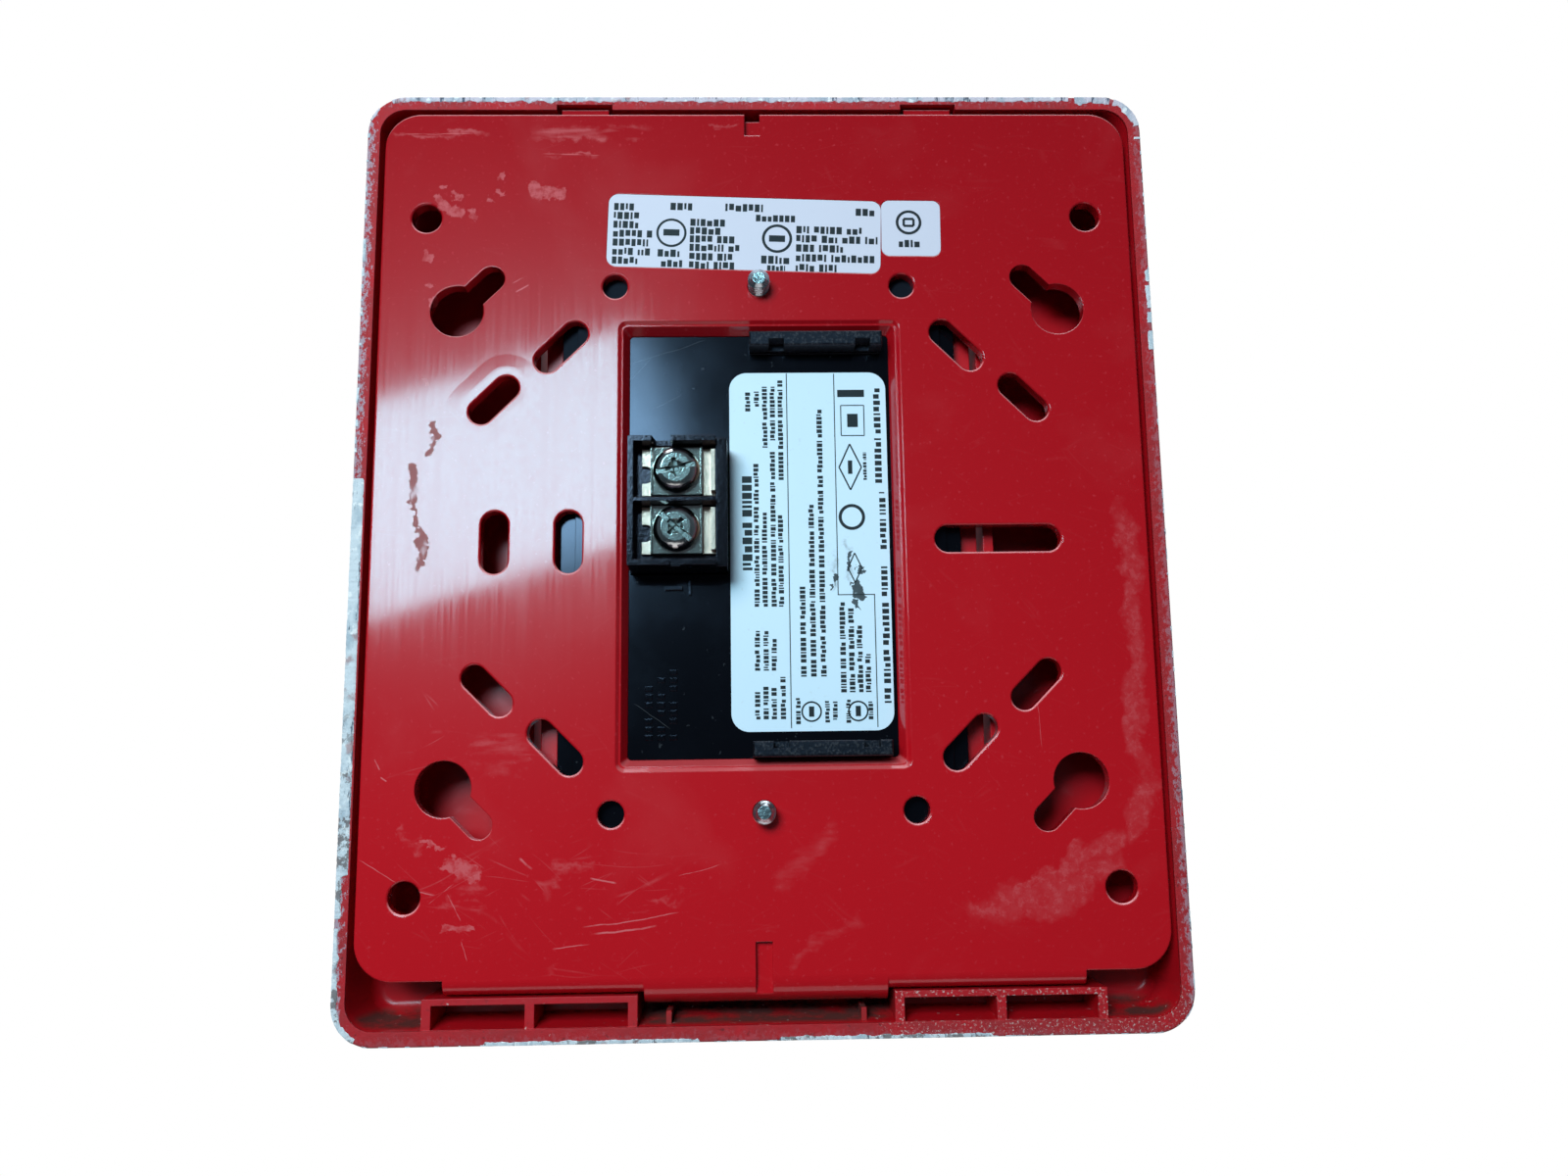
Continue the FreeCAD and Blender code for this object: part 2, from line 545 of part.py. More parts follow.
def storage_capacitor():
    """The flash energy store: a sleeved can lying on the board, with a crimp groove and two leads."""
    radius, z, y = 4.3, 31.3, BOARD_FRONT - 4.4
    outline = [(-27.0, 0), (-27.0, radius - 0.5), (-26.5, radius), (-25.0, radius), (-24.6, radius - 0.6),
               (-24.0, radius - 0.6), (-23.6, radius), (2.5, radius), (3.0, radius - 0.5), (3.0, 0)]
    points = [Vector(x, y, z + r) for x, r in outline]
    edges = [Part.LineSegment(a, b).toShape() for a, b in zip(points, points[1:] + points[:1])]
    can = Part.Face(Part.Wire(edges)).revolve(Vector(0, y, z), Vector(1, 0, 0), 360)
    leads = []
    for dz in (-1.8, 1.8):
        out = Part.makeCylinder(0.3, 1.6, Vector(3.02, y, z + dz), Vector(1, 0, 0))
        down = Part.makeCylinder(0.3, 4.3, Vector(4.4, y - 0.1, z + dz), Vector(0, 1, 0))
        leads.append(out.fuse(down))
    return Part.makeCompound([can] + leads)


def transformer_core():
    """Two E-shaped ferrite halves, as one closed frame with a centre leg."""
    x, z, y = (11.0, 24.0), (16.5, 28.5), (BOARD_FRONT - 8.2, BOARD_FRONT - 1.2)
    core = box(x, y, z)
    windows = [box((x[0] + 2.0, x[0] + 4.6), (-20, -5), (z[0] + 2.0, z[1] - 2.0)),
               box((x[1] - 4.6, x[1] - 2.0), (-20, -5), (z[0] + 2.0, z[1] - 2.0))]
    return core.cut(windows)


def transformer_coil():
    x, z = (13.1, 21.9), (18.6, 26.4)
    coil = box(x, (BOARD_FRONT - 8.9, BOARD_FRONT - 0.5), z)
    coil = coil.makeFillet(0.9, edges_where(coil, lambda p: min(abs(p.x - side) for side in x) < 0.01))
    centre_leg = box((15.55, 19.45), (BOARD_FRONT - 8.3, BOARD_FRONT - 1.1), (16, 29))
    pin_places = [(px, pz) for px in (14.2, 20.8) for pz in (19.6, 25.4)]
    pins = [rod(0.35, px, pz, BOARD_FRONT - 0.5, BOARD_FRONT - 0.02) for px, pz in pin_places]
    return Part.makeCompound([coil.cut(centre_leg)] + pins)


def trigger_coil():
    body = slab(7.0, 10.0, 1.0, BOARD_FRONT - 0.3, BOARD_FRONT - 7.0, x=-22.0, z=18.5)
    body = body.makeFillet(0.6, edges_where(body, at_depth(BOARD_FRONT - 7.0)))
    pins = [rod(0.3, -22.0, z, BOARD_FRONT - 0.3, BOARD_FRONT - 0.02) for z in (15.5, 18.5, 21.5)]
    return Part.makeCompound([body] + pins)


def trigger_wire():
    """The trigger coil's thin lead, which enters by the tube's hole and ends in a turn round the tube."""
    wire_r, turn_r = 0.25, FLASH_R + 0.3
    start = Vector(-22.0, FLASH_Y, 13.1)
    corner = Vector(start.x, FLASH_Y, LENS_Z + turn_r)
    turn_x = -14.3
    reach = Part.makeCylinder(wire_r, BOARD_FRONT - 0.2 - FLASH_Y, start, Vector(0, 1, 0))
    drop = Part.makeCylinder(wire_r, start.z - corner.z, start, Vector(0, 0, -1))
    across = Part.makeCylinder(wire_r, turn_x - corner.x, corner, Vector(1, 0, 0))
    turn = Part.makeTorus(turn_r, wire_r, Vector(turn_x, FLASH_Y, LENS_Z), Vector(1, 0, 0))
    elbows = [Part.makeSphere(wire_r, p) for p in (start, corner)]
    return drop.fuse([reach, across, turn] + elbows)


def trigger_capacitor():
    body = slab(9.0, 4.2, 1.2, BOARD_FRONT - 0.4, BOARD_FRONT - 7.5, x=19.5, z=-33.5)
    body = body.makeFillet(0.8, edges_where(body, at_depth(BOARD_FRONT - 7.5)))
    pins = [rod(0.3, 19.5 + s * 3.0, -33.5, BOARD_FRONT - 0.4, BOARD_FRONT - 0.02) for s in (-1, 1)]
    return Part.makeCompound([body] + pins)


def chip(x, z, width, length, height, legs):
    """A surface-mount chip with gull-wing legs along its two long sides."""
    base, foot_y = BOARD_FRONT - 0.25, (BOARD_FRONT - 0.35, BOARD_FRONT - 0.02)
    body = box((x - width / 2, x + width / 2), (base - height, base), (z - length / 2, z + length / 2))
    body = body.makeChamfer(0.2, edges_where(body, at_depth(base - height)))
    feet = []
    for k in range(legs):
        zk = z + (k - (legs - 1) / 2) * 1.27
        for s in (-1, 1):
            reach = sorted((x + s * (width / 2 + 0.02), x + s * (width / 2 + 1.3)))
            feet.append(box(reach, foot_y, (zk - 0.2, zk + 0.2)))
    return [body] + feet


def control_chips():
    small = (4.0, 5.0, 1.5, 4)
    solids = chip(-9.0, 19.5, 7.4, 10.2, 2.2, 8) + chip(3.0, 19.0, *small) + chip(-19.0, -33.0, *small)
    return Part.makeCompound(solids)


def selector_switch():
    """The fixed case of the four-position selector, with a slot for its slider."""
    case = box((-9.0, 9.0), (BOARD_FRONT - 5.0, BOARD_FRONT - 0.02), (SELECTOR_Z - 2.9, SELECTOR_Z + 2.9))
    case = case.makeFillet(0.4, edges_where(case, at_depth(BOARD_FRONT - 5.0)))
    track = box((-8.0, 8.0), (BOARD_FRONT - 4.0, BOARD_FRONT - 1.0), (SELECTOR_Z - 2.0, SELECTOR_Z + 2.0))
    mouth = box((-6.1, 6.1), (BOARD_FRONT - 6.0, BOARD_FRONT - 3.5), (SELECTOR_Z - 1.2, SELECTOR_Z + 1.2))
    return case.cut([track, mouth])


def selector_slider():
    """The slider: a wiper block in the case and a ribbed knob that stands through the housing."""
    x, z = SELECTOR_REST_X, SELECTOR_Z
    block = box((x - 3.0, x + 3.0), (BOARD_FRONT - 3.9, BOARD_FRONT - 1.2), (z - 1.8, z + 1.8))
    stem = box((x - 1.6, x + 1.6), (-19.7, BOARD_FRONT - 3.0), (z - 1.05, z + 1.05))
    grips = [box((x + dx - 0.2, x + dx + 0.2), (-20, -19.45), (z - 2, z + 2)) for dx in (-0.8, 0, 0.8)]
    return block.fuse(stem.cut(grips))


# ---- terminals ---------------------------------------------------------------------------------------------


def terminal_block():
    """A two-pole barrier block. Wires lie under square clamp plates between the raised barriers."""
    (x0, x1), (z0, z1) = TERM_X, TERM_Z
    body = box((x0, x1), (BOARD_REAR + 0.02, TERM_TOP), (z0, z1))
    middle, half = TERM_MIDDLE_Z, TERM_MIDDLE_BARRIER / 2
    low, high = z0 + TERM_BARRIER, z1 - TERM_BARRIER
    cutters = []
    for z in ((low, middle - half), (middle + half, high)):
        cutters.append(box((x0 + 1.7, x1 - 0.9), (TERM_DECK, 10), z))
    cutters.append(box((x0 - 1, x0 + 1.7), (3.9, 10), (z0 - 1, z1 + 1)))
    cutters.append(profile_notch(z1))
    cutters.append(box((12.4, 13.9), (4.2, 10), (z0 - 1, low + 0.1)))
    for z in TERM_SCREW_Z:
        cutters.append(rod(2.6, TERM_SCREW_X, z, TERM_DECK + 0.5, -5.6))
        pin_x = (TERM_SCREW_X - 4.6, TERM_SCREW_X - 3.4)
        cutters.append(box(pin_x, (-8, TERM_DECK + 0.5), (z - 0.55, z + 0.55)))
    return body.cut(cutters)


def profile_notch(z_top):
    """The sloping-sided gap in the upper barrier."""
    points = [(13.7, 2.6), (16.2, 2.6), (17.3, 10.0), (13.7, 10.0)]
    vectors = [Vector(x, y, z_top - TERM_BARRIER - 0.1) for x, y in points]
    face = Part.Face(Part.makePolygon(vectors + vectors[:1]))
    return face.extrude(Vector(0, 0, TERM_BARRIER + 1))


def terminal_contact(z):
    """A plated contact: a flat deck with a U notch, an upturned stop and a pin down to the board."""
    base, top = TERM_DECK + 0.02, TERM_DECK + 0.02 + CONTACT_THICK
    deck = box((7.0, 18.4), (base, top), (z - 3.7, z + 3.7))
    stop = box((7.0, 7.7), (base, 3.6), (z - 3.3, z + 3.3))
    pin = box((TERM_SCREW_X - 4.5, TERM_SCREW_X - 3.5), (BOARD_FRONT - 0.7, base), (z - 0.45, z + 0.45))
    collar = rod(2.5, TERM_SCREW_X, z, base, -1.6)
    notch = slot((17.9, z - 0.4), (20, z - 0.4), 1.35, -1, 4)
    threaded = rod(TERM_THREAD_R + 0.05, TERM_SCREW_X, z, -3, 4)
    return deck.fuse([stop, pin, collar]).cut([notch, threaded])


def clamp_plate(z):
    """The square plate held captive under the terminal screw's head, with two raised edges beside it."""
    base = TERM_DECK + 0.02 + CONTACT_THICK + 0.05
    top = base + CLAMP_THICK
    half_x, half_z = CLAMP_HALF
    x = TERM_SCREW_X
    ridge = half_x - TERM_HEAD[0] - 0.08
    across = (z - half_z, z + half_z)
    plate = box((x - half_x, x + half_x), (base, top), across)
    ridges = [box((x + a, x + a + ridge), (base, top + 0.5), across) for a in (-half_x, half_x - ridge)]
    plate = plate.fuse(ridges)
    return plate.cut(rod(TERM_THREAD_R + 0.08, x, z, -3, 5))


def terminal_screw(z, slot_angle):
    seat = TERM_DECK + 0.02 + CONTACT_THICK + 0.05 + CLAMP_THICK + 0.03
    screw = threaded_screw(TERM_SCREW_X, z, seat, -5.2, TERM_HEAD, TERM_THREAD_R, -1)
    recess = driver_recess(TERM_SCREW_X, z, seat + TERM_HEAD[1], -1, slot_angle, 3.4)
    return screw.cut(recess)


def mounting_screws():
    """The two long screws that clamp the strobe to the plate. Their tips stand out at the rear."""
    screws = []
    for z, angle in ((SCREW_SPACING, 35), (-SCREW_SPACING, -20)):
        screw = threaded_screw(0, z, SCREW_SEAT - 0.02, 3.3, (3.4, 2.2), 1.74, 1)
        screws.append(screw.cut(driver_recess(0, z, SCREW_SEAT - 2.22, 1, angle, 3.0)))
    return Part.makeCompound(screws)


# ---- build -------------------------------------------------------------------------------------------------

keep("mounting_plate", mounting_plate())
keep("trim_frame", trim_frame())
keep("plate_label", sticker(PLATE_LABEL, 0.0))
keep("approval_label", sticker(APPROVAL_LABEL, 0.0))
keep("strobe_rear_cover", rear_cover())
keep("rating_label", sticker(RATING_LABEL, REAR_FACE + LABEL_THICK))
keep("strobe_housing", strobe_housing())
keep("strobe_cover", strobe_cover())
keep("setting_window", setting_window())
keep("lens", lens())
keep("reflector", reflector())
keep("flash_tube", flash_tube())
keep("flash_tube_leads", flash_tube_leads())
keep("circuit_board", circuit_board())
keep("board_screws", board_screws())
keep("storage_capacitor", storage_capacitor())
keep("transformer_core", transformer_core())
keep("transformer_coil", transformer_coil())
keep("trigger_coil", trigger_coil())
keep("trigger_wire", trigger_wire())
keep("trigger_capacitor", trigger_capacitor())
keep("control_chips", control_chips())
keep("selector_switch", selector_switch())
keep("selector_slider", selector_slider())
keep("terminal_block", terminal_block())
for place, z, slot_angle in (("upper", TERM_SCREW_Z[1], 12), ("lower", TERM_SCREW_Z[0], -42)):
    keep(f"contact_{place}", terminal_contact(z))
    keep(f"clamp_plate_{place}", clamp_plate(z))
    keep(f"terminal_screw_{place}", terminal_screw(z, slot_angle))
keep("mounting_screws", mounting_screws())

os.makedirs("parts", exist_ok=True)
for name, shape in parts.items():
    shape.exportStep(f"parts/{name}.step")
    valid = "ok" if shape.isValid() else "INVALID"
    print(f"{name:20s} {valid} solids {len(shape.Solids)} volume {shape.Volume:9.1f} mm3")
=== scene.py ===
"""The looks of a wall-mounted fire alarm strobe: materials, label print, old wall paint, light and camera.

Metres, in the model's own frame: +Z up the wall, +Y into the wall, so the rear face looks along +Y.
Marks on the rear face are placed by (x, z) points in millimetres.
"""
import math
import random

import bmesh
import bpy
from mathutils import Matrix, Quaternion, Vector, noise


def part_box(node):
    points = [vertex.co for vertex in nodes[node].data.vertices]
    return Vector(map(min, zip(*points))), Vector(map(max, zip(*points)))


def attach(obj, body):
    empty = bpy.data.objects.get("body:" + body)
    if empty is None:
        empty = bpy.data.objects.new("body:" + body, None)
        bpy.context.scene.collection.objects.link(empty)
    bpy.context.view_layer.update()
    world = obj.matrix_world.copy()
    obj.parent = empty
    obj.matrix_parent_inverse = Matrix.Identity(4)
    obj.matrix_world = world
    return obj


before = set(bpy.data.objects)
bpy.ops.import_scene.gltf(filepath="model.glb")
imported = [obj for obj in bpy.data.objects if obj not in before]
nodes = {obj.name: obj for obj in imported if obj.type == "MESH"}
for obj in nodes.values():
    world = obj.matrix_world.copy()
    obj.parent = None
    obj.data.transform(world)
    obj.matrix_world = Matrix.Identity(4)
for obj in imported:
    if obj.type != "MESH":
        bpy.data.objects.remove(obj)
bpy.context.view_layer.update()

MM = 0.001

# The sockets of a Mix node that mixes colours.
MIX_A, MIX_B, MIX_OUT = 6, 7, 2

# ---- camera, light and stage -------------------------------------------------------------------------------

CAMERA_PLACE = Vector((1.4, 189.5, -38.4)) * MM
CAMERA_TARGET = Vector((-3.4, 0.0, -7.6)) * MM
CAMERA_ROLL = math.radians(-0.81)
CAMERA_LENS = 28.53
SENSOR_WIDTH = 36.0
CLIP_START = 5 * MM
FLOOR_DROP = 1.25
FLOOR_RADIUS = 0.8
AMBIENT = (0.55, 0.80, 1.0, 1.0)
AMBIENT_STRENGTH = 0.16


def make_camera():
    data = bpy.data.cameras.new("camera")
    data.lens, data.sensor_width = CAMERA_LENS, SENSOR_WIDTH
    data.clip_start = CLIP_START
    camera = bpy.data.objects.new("camera", data)
    bpy.context.scene.collection.objects.link(camera)
    camera.location = CAMERA_PLACE
    look = (CAMERA_TARGET - CAMERA_PLACE).to_track_quat("-Z", "Y")
    camera.rotation_mode = "QUATERNION"
    camera.rotation_quaternion = look @ Quaternion((0, 0, 1), CAMERA_ROLL)
    bpy.context.scene.camera = camera


def soft_light(name, place, target, size, power, colour=(1, 1, 1), roll=0.0, mirrored=True):
    """A rectangular light that faces the target, turned by roll degrees. Unmirrored, no gloss shows it."""
    data = bpy.data.lights.new(name, "AREA")
    data.shape = "RECTANGLE"
    data.size, data.size_y = size
    data.energy, data.color = power, colour
    light = bpy.data.objects.new(name, data)
    bpy.context.scene.collection.objects.link(light)
    place = Vector(place)
    light.location = place
    light.rotation_mode = "QUATERNION"
    look = (Vector(target) - place).to_track_quat("-Z", "Y")
    light.rotation_quaternion = look @ Quaternion((0, 0, 1), math.radians(roll))
    light.visible_glossy = mirrored


def make_lights():
    """A window behind the camera, up to its left, a fill beside it, a strip overhead, and two in front."""
    middle = (0, 0, 0)
    soft_light("window", (0.158, 0.57, 0.161), (0.158, 0, 0.161), (0.214, 0.134), 1.82, (0.39, 0.84, 1.0),
               roll=16.5)
    soft_light("window_fill", (0.19, 0.53, 0.22), middle, (0.30, 0.24), 2.75, (1.0, 0.95, 0.92),
               mirrored=False)
    soft_light("overhead", (0.0, 0.10, 0.90), middle, (0.8, 0.3), 3.0, (0.8, 0.93, 1.0))
    soft_light("room_key", (0.7, -0.9, 0.8), middle, (0.8, 0.8), 14.0)
    soft_light("room_fill", (-0.9, -0.8, 0.2), middle, (0.9, 0.7), 5.0)


def make_world():
    """White behind the object, and a dim blue as light: brighter from above, dimmer behind the camera."""
    world = bpy.data.worlds.new("world")
    world.use_nodes = True
    bpy.context.scene.world = world
    tree = world.node_tree
    tree.nodes.clear()
    out = tree.nodes.new("ShaderNodeOutputWorld")
    mix = tree.nodes.new("ShaderNodeMixShader")
    path = tree.nodes.new("ShaderNodeLightPath")
    white, ambient = (tree.nodes.new("ShaderNodeBackground") for _ in range(2))
    white.inputs["Color"].default_value = (1, 1, 1, 1)
    ambient.inputs["Strength"].default_value = AMBIENT_STRENGTH
    coords = tree.nodes.new("ShaderNodeTexCoord")
    split = tree.nodes.new("ShaderNodeSeparateXYZ")
    product = tree.nodes.new("ShaderNodeMath")
    product.operation = "MULTIPLY"
    sky = tree.nodes.new("ShaderNodeMix")
    sky.data_type = "RGBA"
    sky.inputs[MIX_A].default_value = (0, 0, 0, 1)
    sky.inputs[MIX_B].default_value = AMBIENT
    tree.links.new(coords.outputs["Generated"], split.inputs[0])
    for i, (letter, ends) in enumerate((("Z", (-1.0, 1.0, 0.35, 1.0)), ("Y", (-0.3, 0.5, 1.0, 0.62)))):
        ramp = tree.nodes.new("ShaderNodeMapRange")
        for socket, value in zip(("From Min", "From Max", "To Min", "To Max"), ends):
            ramp.inputs[socket].default_value = value
        tree.links.new(split.outputs[letter], ramp.inputs["Value"])
        tree.links.new(ramp.outputs["Result"], product.inputs[i])
    tree.links.new(product.outputs[0], sky.inputs["Factor"])
    tree.links.new(sky.outputs[MIX_OUT], ambient.inputs["Color"])
    tree.links.new(path.outputs["Is Camera Ray"], mix.inputs[0])
    tree.links.new(ambient.outputs[0], mix.inputs[1])
    tree.links.new(white.outputs[0], mix.inputs[2])
    tree.links.new(mix.outputs[0], out.inputs["Surface"])


def make_floor():
    """A pale round floor far below the object, lit a little from itself."""
    bm = bmesh.new()
    bmesh.ops.create_circle(bm, cap_ends=True, segments=96, radius=FLOOR_RADIUS)
    bmesh.ops.translate(bm, verts=bm.verts, vec=(0, 0, -FLOOR_DROP))
    floor = mesh_object("stage_floor", bm)
    paint = Paint("stage_floor", (0.86, 0.86, 0.87), 0.7)
    paint.set("Emission Color", (0.90, 0.92, 0.94, 1.0))
    paint.set("Emission Strength", 0.4)
    floor.data.materials.append(paint.material)


def mesh_object(name, bm):
    mesh = bpy.data.meshes.new(name)
    bm.to_mesh(mesh)
    bm.free()
    piece = bpy.data.objects.new(name, mesh)
    bpy.context.scene.collection.objects.link(piece)
    return piece


# ---- node helpers ------------------------------------------------------------------------------------------


class Paint:
    """A Principled material with short calls for the procedural detail. Textures use object coordinates.

    A mask is a node's output, or a number, that is 0 where it does nothing and 1 where it does all."""

    def __init__(self, name, colour, roughness, metallic=0.0):
        self.material = bpy.data.materials.new(name)
        self.material.use_nodes = True
        self.tree = self.material.node_tree
        self.shader = self.tree.nodes["Principled BSDF"]
        self.colour = self.opaque(colour)
        self.rough = roughness
        self.height = None
        self.shake = None
        self.set("Metallic", metallic)
        coords = self.add("ShaderNodeTexCoord")
        self.coords = coords.outputs["Object"]
        self.place = self.add("ShaderNodeSeparateXYZ")
        self.join(self.coords, self.place.inputs[0])
        self.flush()

    def add(self, kind, **settings):
        made = self.tree.nodes.new(kind)
        for key, value in settings.items():
            setattr(made, key, value)
        return made

    def join(self, source, target):
        self.tree.links.new(source, target)

    def set(self, socket, value):
        self.shader.inputs[socket].default_value = value

    def feed(self, value, socket):
        """Links an output, or sets a constant."""
        if hasattr(value, "is_output"):
            self.join(value, socket)
        else:
            socket.default_value = value

    def opaque(self, colour):
        return tuple(colour) + (1.0,)

    def flush(self):
        self.feed(self.colour, self.shader.inputs["Base Color"])
        self.feed(self.rough, self.shader.inputs["Roughness"])

    # -- values and masks

    def math(self, kind, a, b=0.0):
        made = self.add("ShaderNodeMath", operation=kind)
        self.feed(a, made.inputs[0])
        self.feed(b, made.inputs[1])
        return made.outputs[0]

    def times(self, first, *others):
        """The product of masks."""
        for other in others:
            first = self.math("MULTIPLY", first, other)
        return first

    def largest(self, first, *others):
        for other in others:
            first = self.math("MAXIMUM", first, other)
        return first

    def axis(self, letter):
        return self.place.outputs[letter]

    def noise(self, scale, detail=3.0, stretch=(1, 1, 1), shift=0.0, rough=0.5, warp=0.0):
        mapping = self.add("ShaderNodeMapping")
        mapping.inputs["Scale"].default_value = stretch
        mapping.inputs["Location"].default_value = (shift, shift * 0.7, shift * 1.3)
        self.join(self.coords, mapping.inputs["Vector"])
        made = self.add("ShaderNodeTexNoise")
        made.inputs["Scale"].default_value = scale
        made.inputs["Detail"].default_value = detail
        made.inputs["Roughness"].default_value = rough
        made.inputs["Distortion"].default_value = warp
        self.join(mapping.outputs[0], made.inputs["Vector"])
        return made.outputs["Fac"]

    def band(self, value, low, high, to=(0.0, 1.0)):
        """A clamped linear ramp from low to high."""
        made = self.add("ShaderNodeMapRange")
        self.feed(value, made.inputs["Value"])
        made.inputs["From Min"].default_value = low
        made.inputs["From Max"].default_value = high
        made.inputs["To Min"].default_value = to[0]
        made.inputs["To Max"].default_value = to[1]
        return made.outputs["Result"]

    def ramp(self, letter, low, high, to=(0.0, 1.0), both_sides=False):
        """A band along an axis between two places in millimetres, on one side of the middle or on both."""
        place = self.axis(letter)
        if both_sides:
            place = self.math("ABSOLUTE", place)
        return self.band(place, low * MM, high * MM, to)

    def lit_lip(self):
        """1 on the rounded rear edges that face up, where a highlight is painted."""
        up = self.band(self.rounded.outputs["Z"], 0.14, 0.45)
        return self.times(up, self.band(self.rounded.outputs["Y"], 0.30, 0.60))

    def painted_recess_shade(self, reach):
        """1 deep in a recess whose width is about the reach in millimetres, where shade is painted."""
        made = self.add("ShaderNodeAmbientOcclusion", samples=8, only_local=True)
        made.inputs["Distance"].default_value = reach * MM
        return self.band(made.outputs["AO"], 0.85, 0.35)

    # -- marks drawn between points

    def wander(self, scale, reach):
        """Makes the strokes that follow irregular, by up to reach millimetres."""
        ends = (-reach * MM, reach * MM)
        waves = [self.noise(scale, 4, shift=shift, rough=0.62) for shift in (3.7, 11.9)]
        self.shake = [self.band(wave, 0.2, 0.8, ends) for wave in waves]

    def along_and_across(self, a, b):
        """Distances along and across a line from its middle, in metres. Its ends are (x, z) points."""
        ax, az, bx, bz = (v * MM for v in (*a, *b))
        length = math.hypot(bx - ax, bz - az)
        ux, uz = (bx - ax) / length, (bz - az) / length
        x, z = self.axis("X"), self.axis("Z")
        if self.shake:
            x, z = self.math("ADD", x, self.shake[0]), self.math("ADD", z, self.shake[1])
        dx = self.math("SUBTRACT", x, (ax + bx) / 2)
        dz = self.math("SUBTRACT", z, (az + bz) / 2)
        along = self.math("ADD", self.times(dx, ux), self.times(dz, uz))
        across = self.math("SUBTRACT", self.times(dx, uz), self.times(dz, ux))
        return self.math("ABSOLUTE", along), self.math("ABSOLUTE", across), length

    def stroke(self, a, b, width, fade=0.5):
        """A straight mark between two (x, z) points in millimetres."""
        along, across, length = self.along_and_across(a, b)
        side = self.band(across, width * MM / 2, width * MM / 2 * (1 - fade))
        ends = self.band(along, length / 2, length / 2 * 0.75)
        return self.times(side, ends)

    def strokes(self, marks, fade=0.5):
        """Several strokes as one mask. A mark is its two ends and its width."""
        return self.largest(*[self.stroke(a, b, width, fade) for a, b, width in marks])

    def capsule(self, a, b):
        """Distance from a line between two (x, z) points, in metres."""
        along, across, length = self.along_and_across(a, b)
        past = self.math("MAXIMUM", self.math("SUBTRACT", along, length / 2), 0.0)
        return self.math("SQRT", self.math("ADD", self.times(past, past), self.times(across, across)))

    # -- changes to the shader

    def lacquer(self, weight, roughness):
        """A sharper gloss over the base's own."""
        self.set("Coat Weight", weight)
        self.feed(roughness, self.shader.inputs["Coat Roughness"])

    def wear_lacquer(self, mask, strength):
        """Takes the lacquer's gloss away where the mask is 1."""
        weight = self.shader.inputs["Coat Weight"]
        rest = self.math("SUBTRACT", 1.0, self.times(mask, strength))
        self.join(self.times(rest, weight.default_value), weight)

    def tint(self, mask, colour, strength=1.0):
        """Mixes the colour towards another where the mask is 1."""
        made = self.add("ShaderNodeMix", data_type="RGBA")
        self.feed(self.times(mask, strength), made.inputs["Factor"])
        self.feed(self.colour, made.inputs[MIX_A])
        made.inputs[MIX_B].default_value = self.opaque(colour)
        self.colour = made.outputs[MIX_OUT]
        self.flush()

    def roughen(self, mask, target, strength=1.0):
        """Mixes the roughness towards the target where the mask is 1."""
        made = self.add("ShaderNodeMix", data_type="FLOAT")
        self.feed(self.times(mask, strength), made.inputs[0])
        self.feed(self.rough, made.inputs[2])
        made.inputs[3].default_value = target
        self.rough = made.outputs[0]
        self.flush()

    def shape_normal(self, output):
        self.height = output
        self.join(output, self.shader.inputs["Normal"])
        self.join(output, self.shader.inputs["Coat Normal"])

    def soften(self, radius):
        """Shades the edges as if they were rounded, in millimetres. It comes before any emboss."""
        made = self.add("ShaderNodeBevel", samples=6)
        made.inputs["Radius"].default_value = radius * MM
        self.shape_normal(made.outputs[0])
        self.rounded = self.add("ShaderNodeSeparateXYZ")
        self.join(self.height, self.rounded.inputs[0])

    def emboss(self, height, distance, strength=1.0):
        """Adds a bump. A height of 1 stands the distance, in metres, above a height of 0."""
        made = self.add("ShaderNodeBump")
        made.inputs["Strength"].default_value = strength
        made.inputs["Distance"].default_value = distance
        self.feed(height, made.inputs["Height"])
        if self.height is not None:
            self.join(self.height, made.inputs["Normal"])
        self.shape_normal(made.outputs[0])


# ---- materials ---------------------------------------------------------------------------------------------

RED = (0.52, 0.0058, 0.0125)
MOULDED_RED = (0.50, 0.006, 0.013)
DARK_RED = (0.42, 0.0045, 0.0100)
TOP_SHADE_RED = (0.30, 0.0030, 0.0075)
LIT_RED = (0.90, 0.36, 0.38)
SCUFF = (0.70, 0.20, 0.22)
BLOOM = (0.62, 0.060, 0.080)
BROWN_SCUFF = (0.27, 0.075, 0.07)
CHAFED_RED = (0.30, 0.022, 0.026)
RED_PIT = (0.10, 0.012, 0.014)
SPECKLE = (0.40, 0.33, 0.40)
FLAKE = (0.60, 0.50, 0.48)
DUST = (0.045, 0.030, 0.024)
CRUMB = (0.62, 0.52, 0.50)
OLD_PAINT = (0.62, 0.68, 0.74)

# Places in millimetres. Z runs up the plate, and X to the left as the rear is seen.
PLATE_WINDOW = (23, 38)
RIM_LEVEL = (-0.45, -0.1)


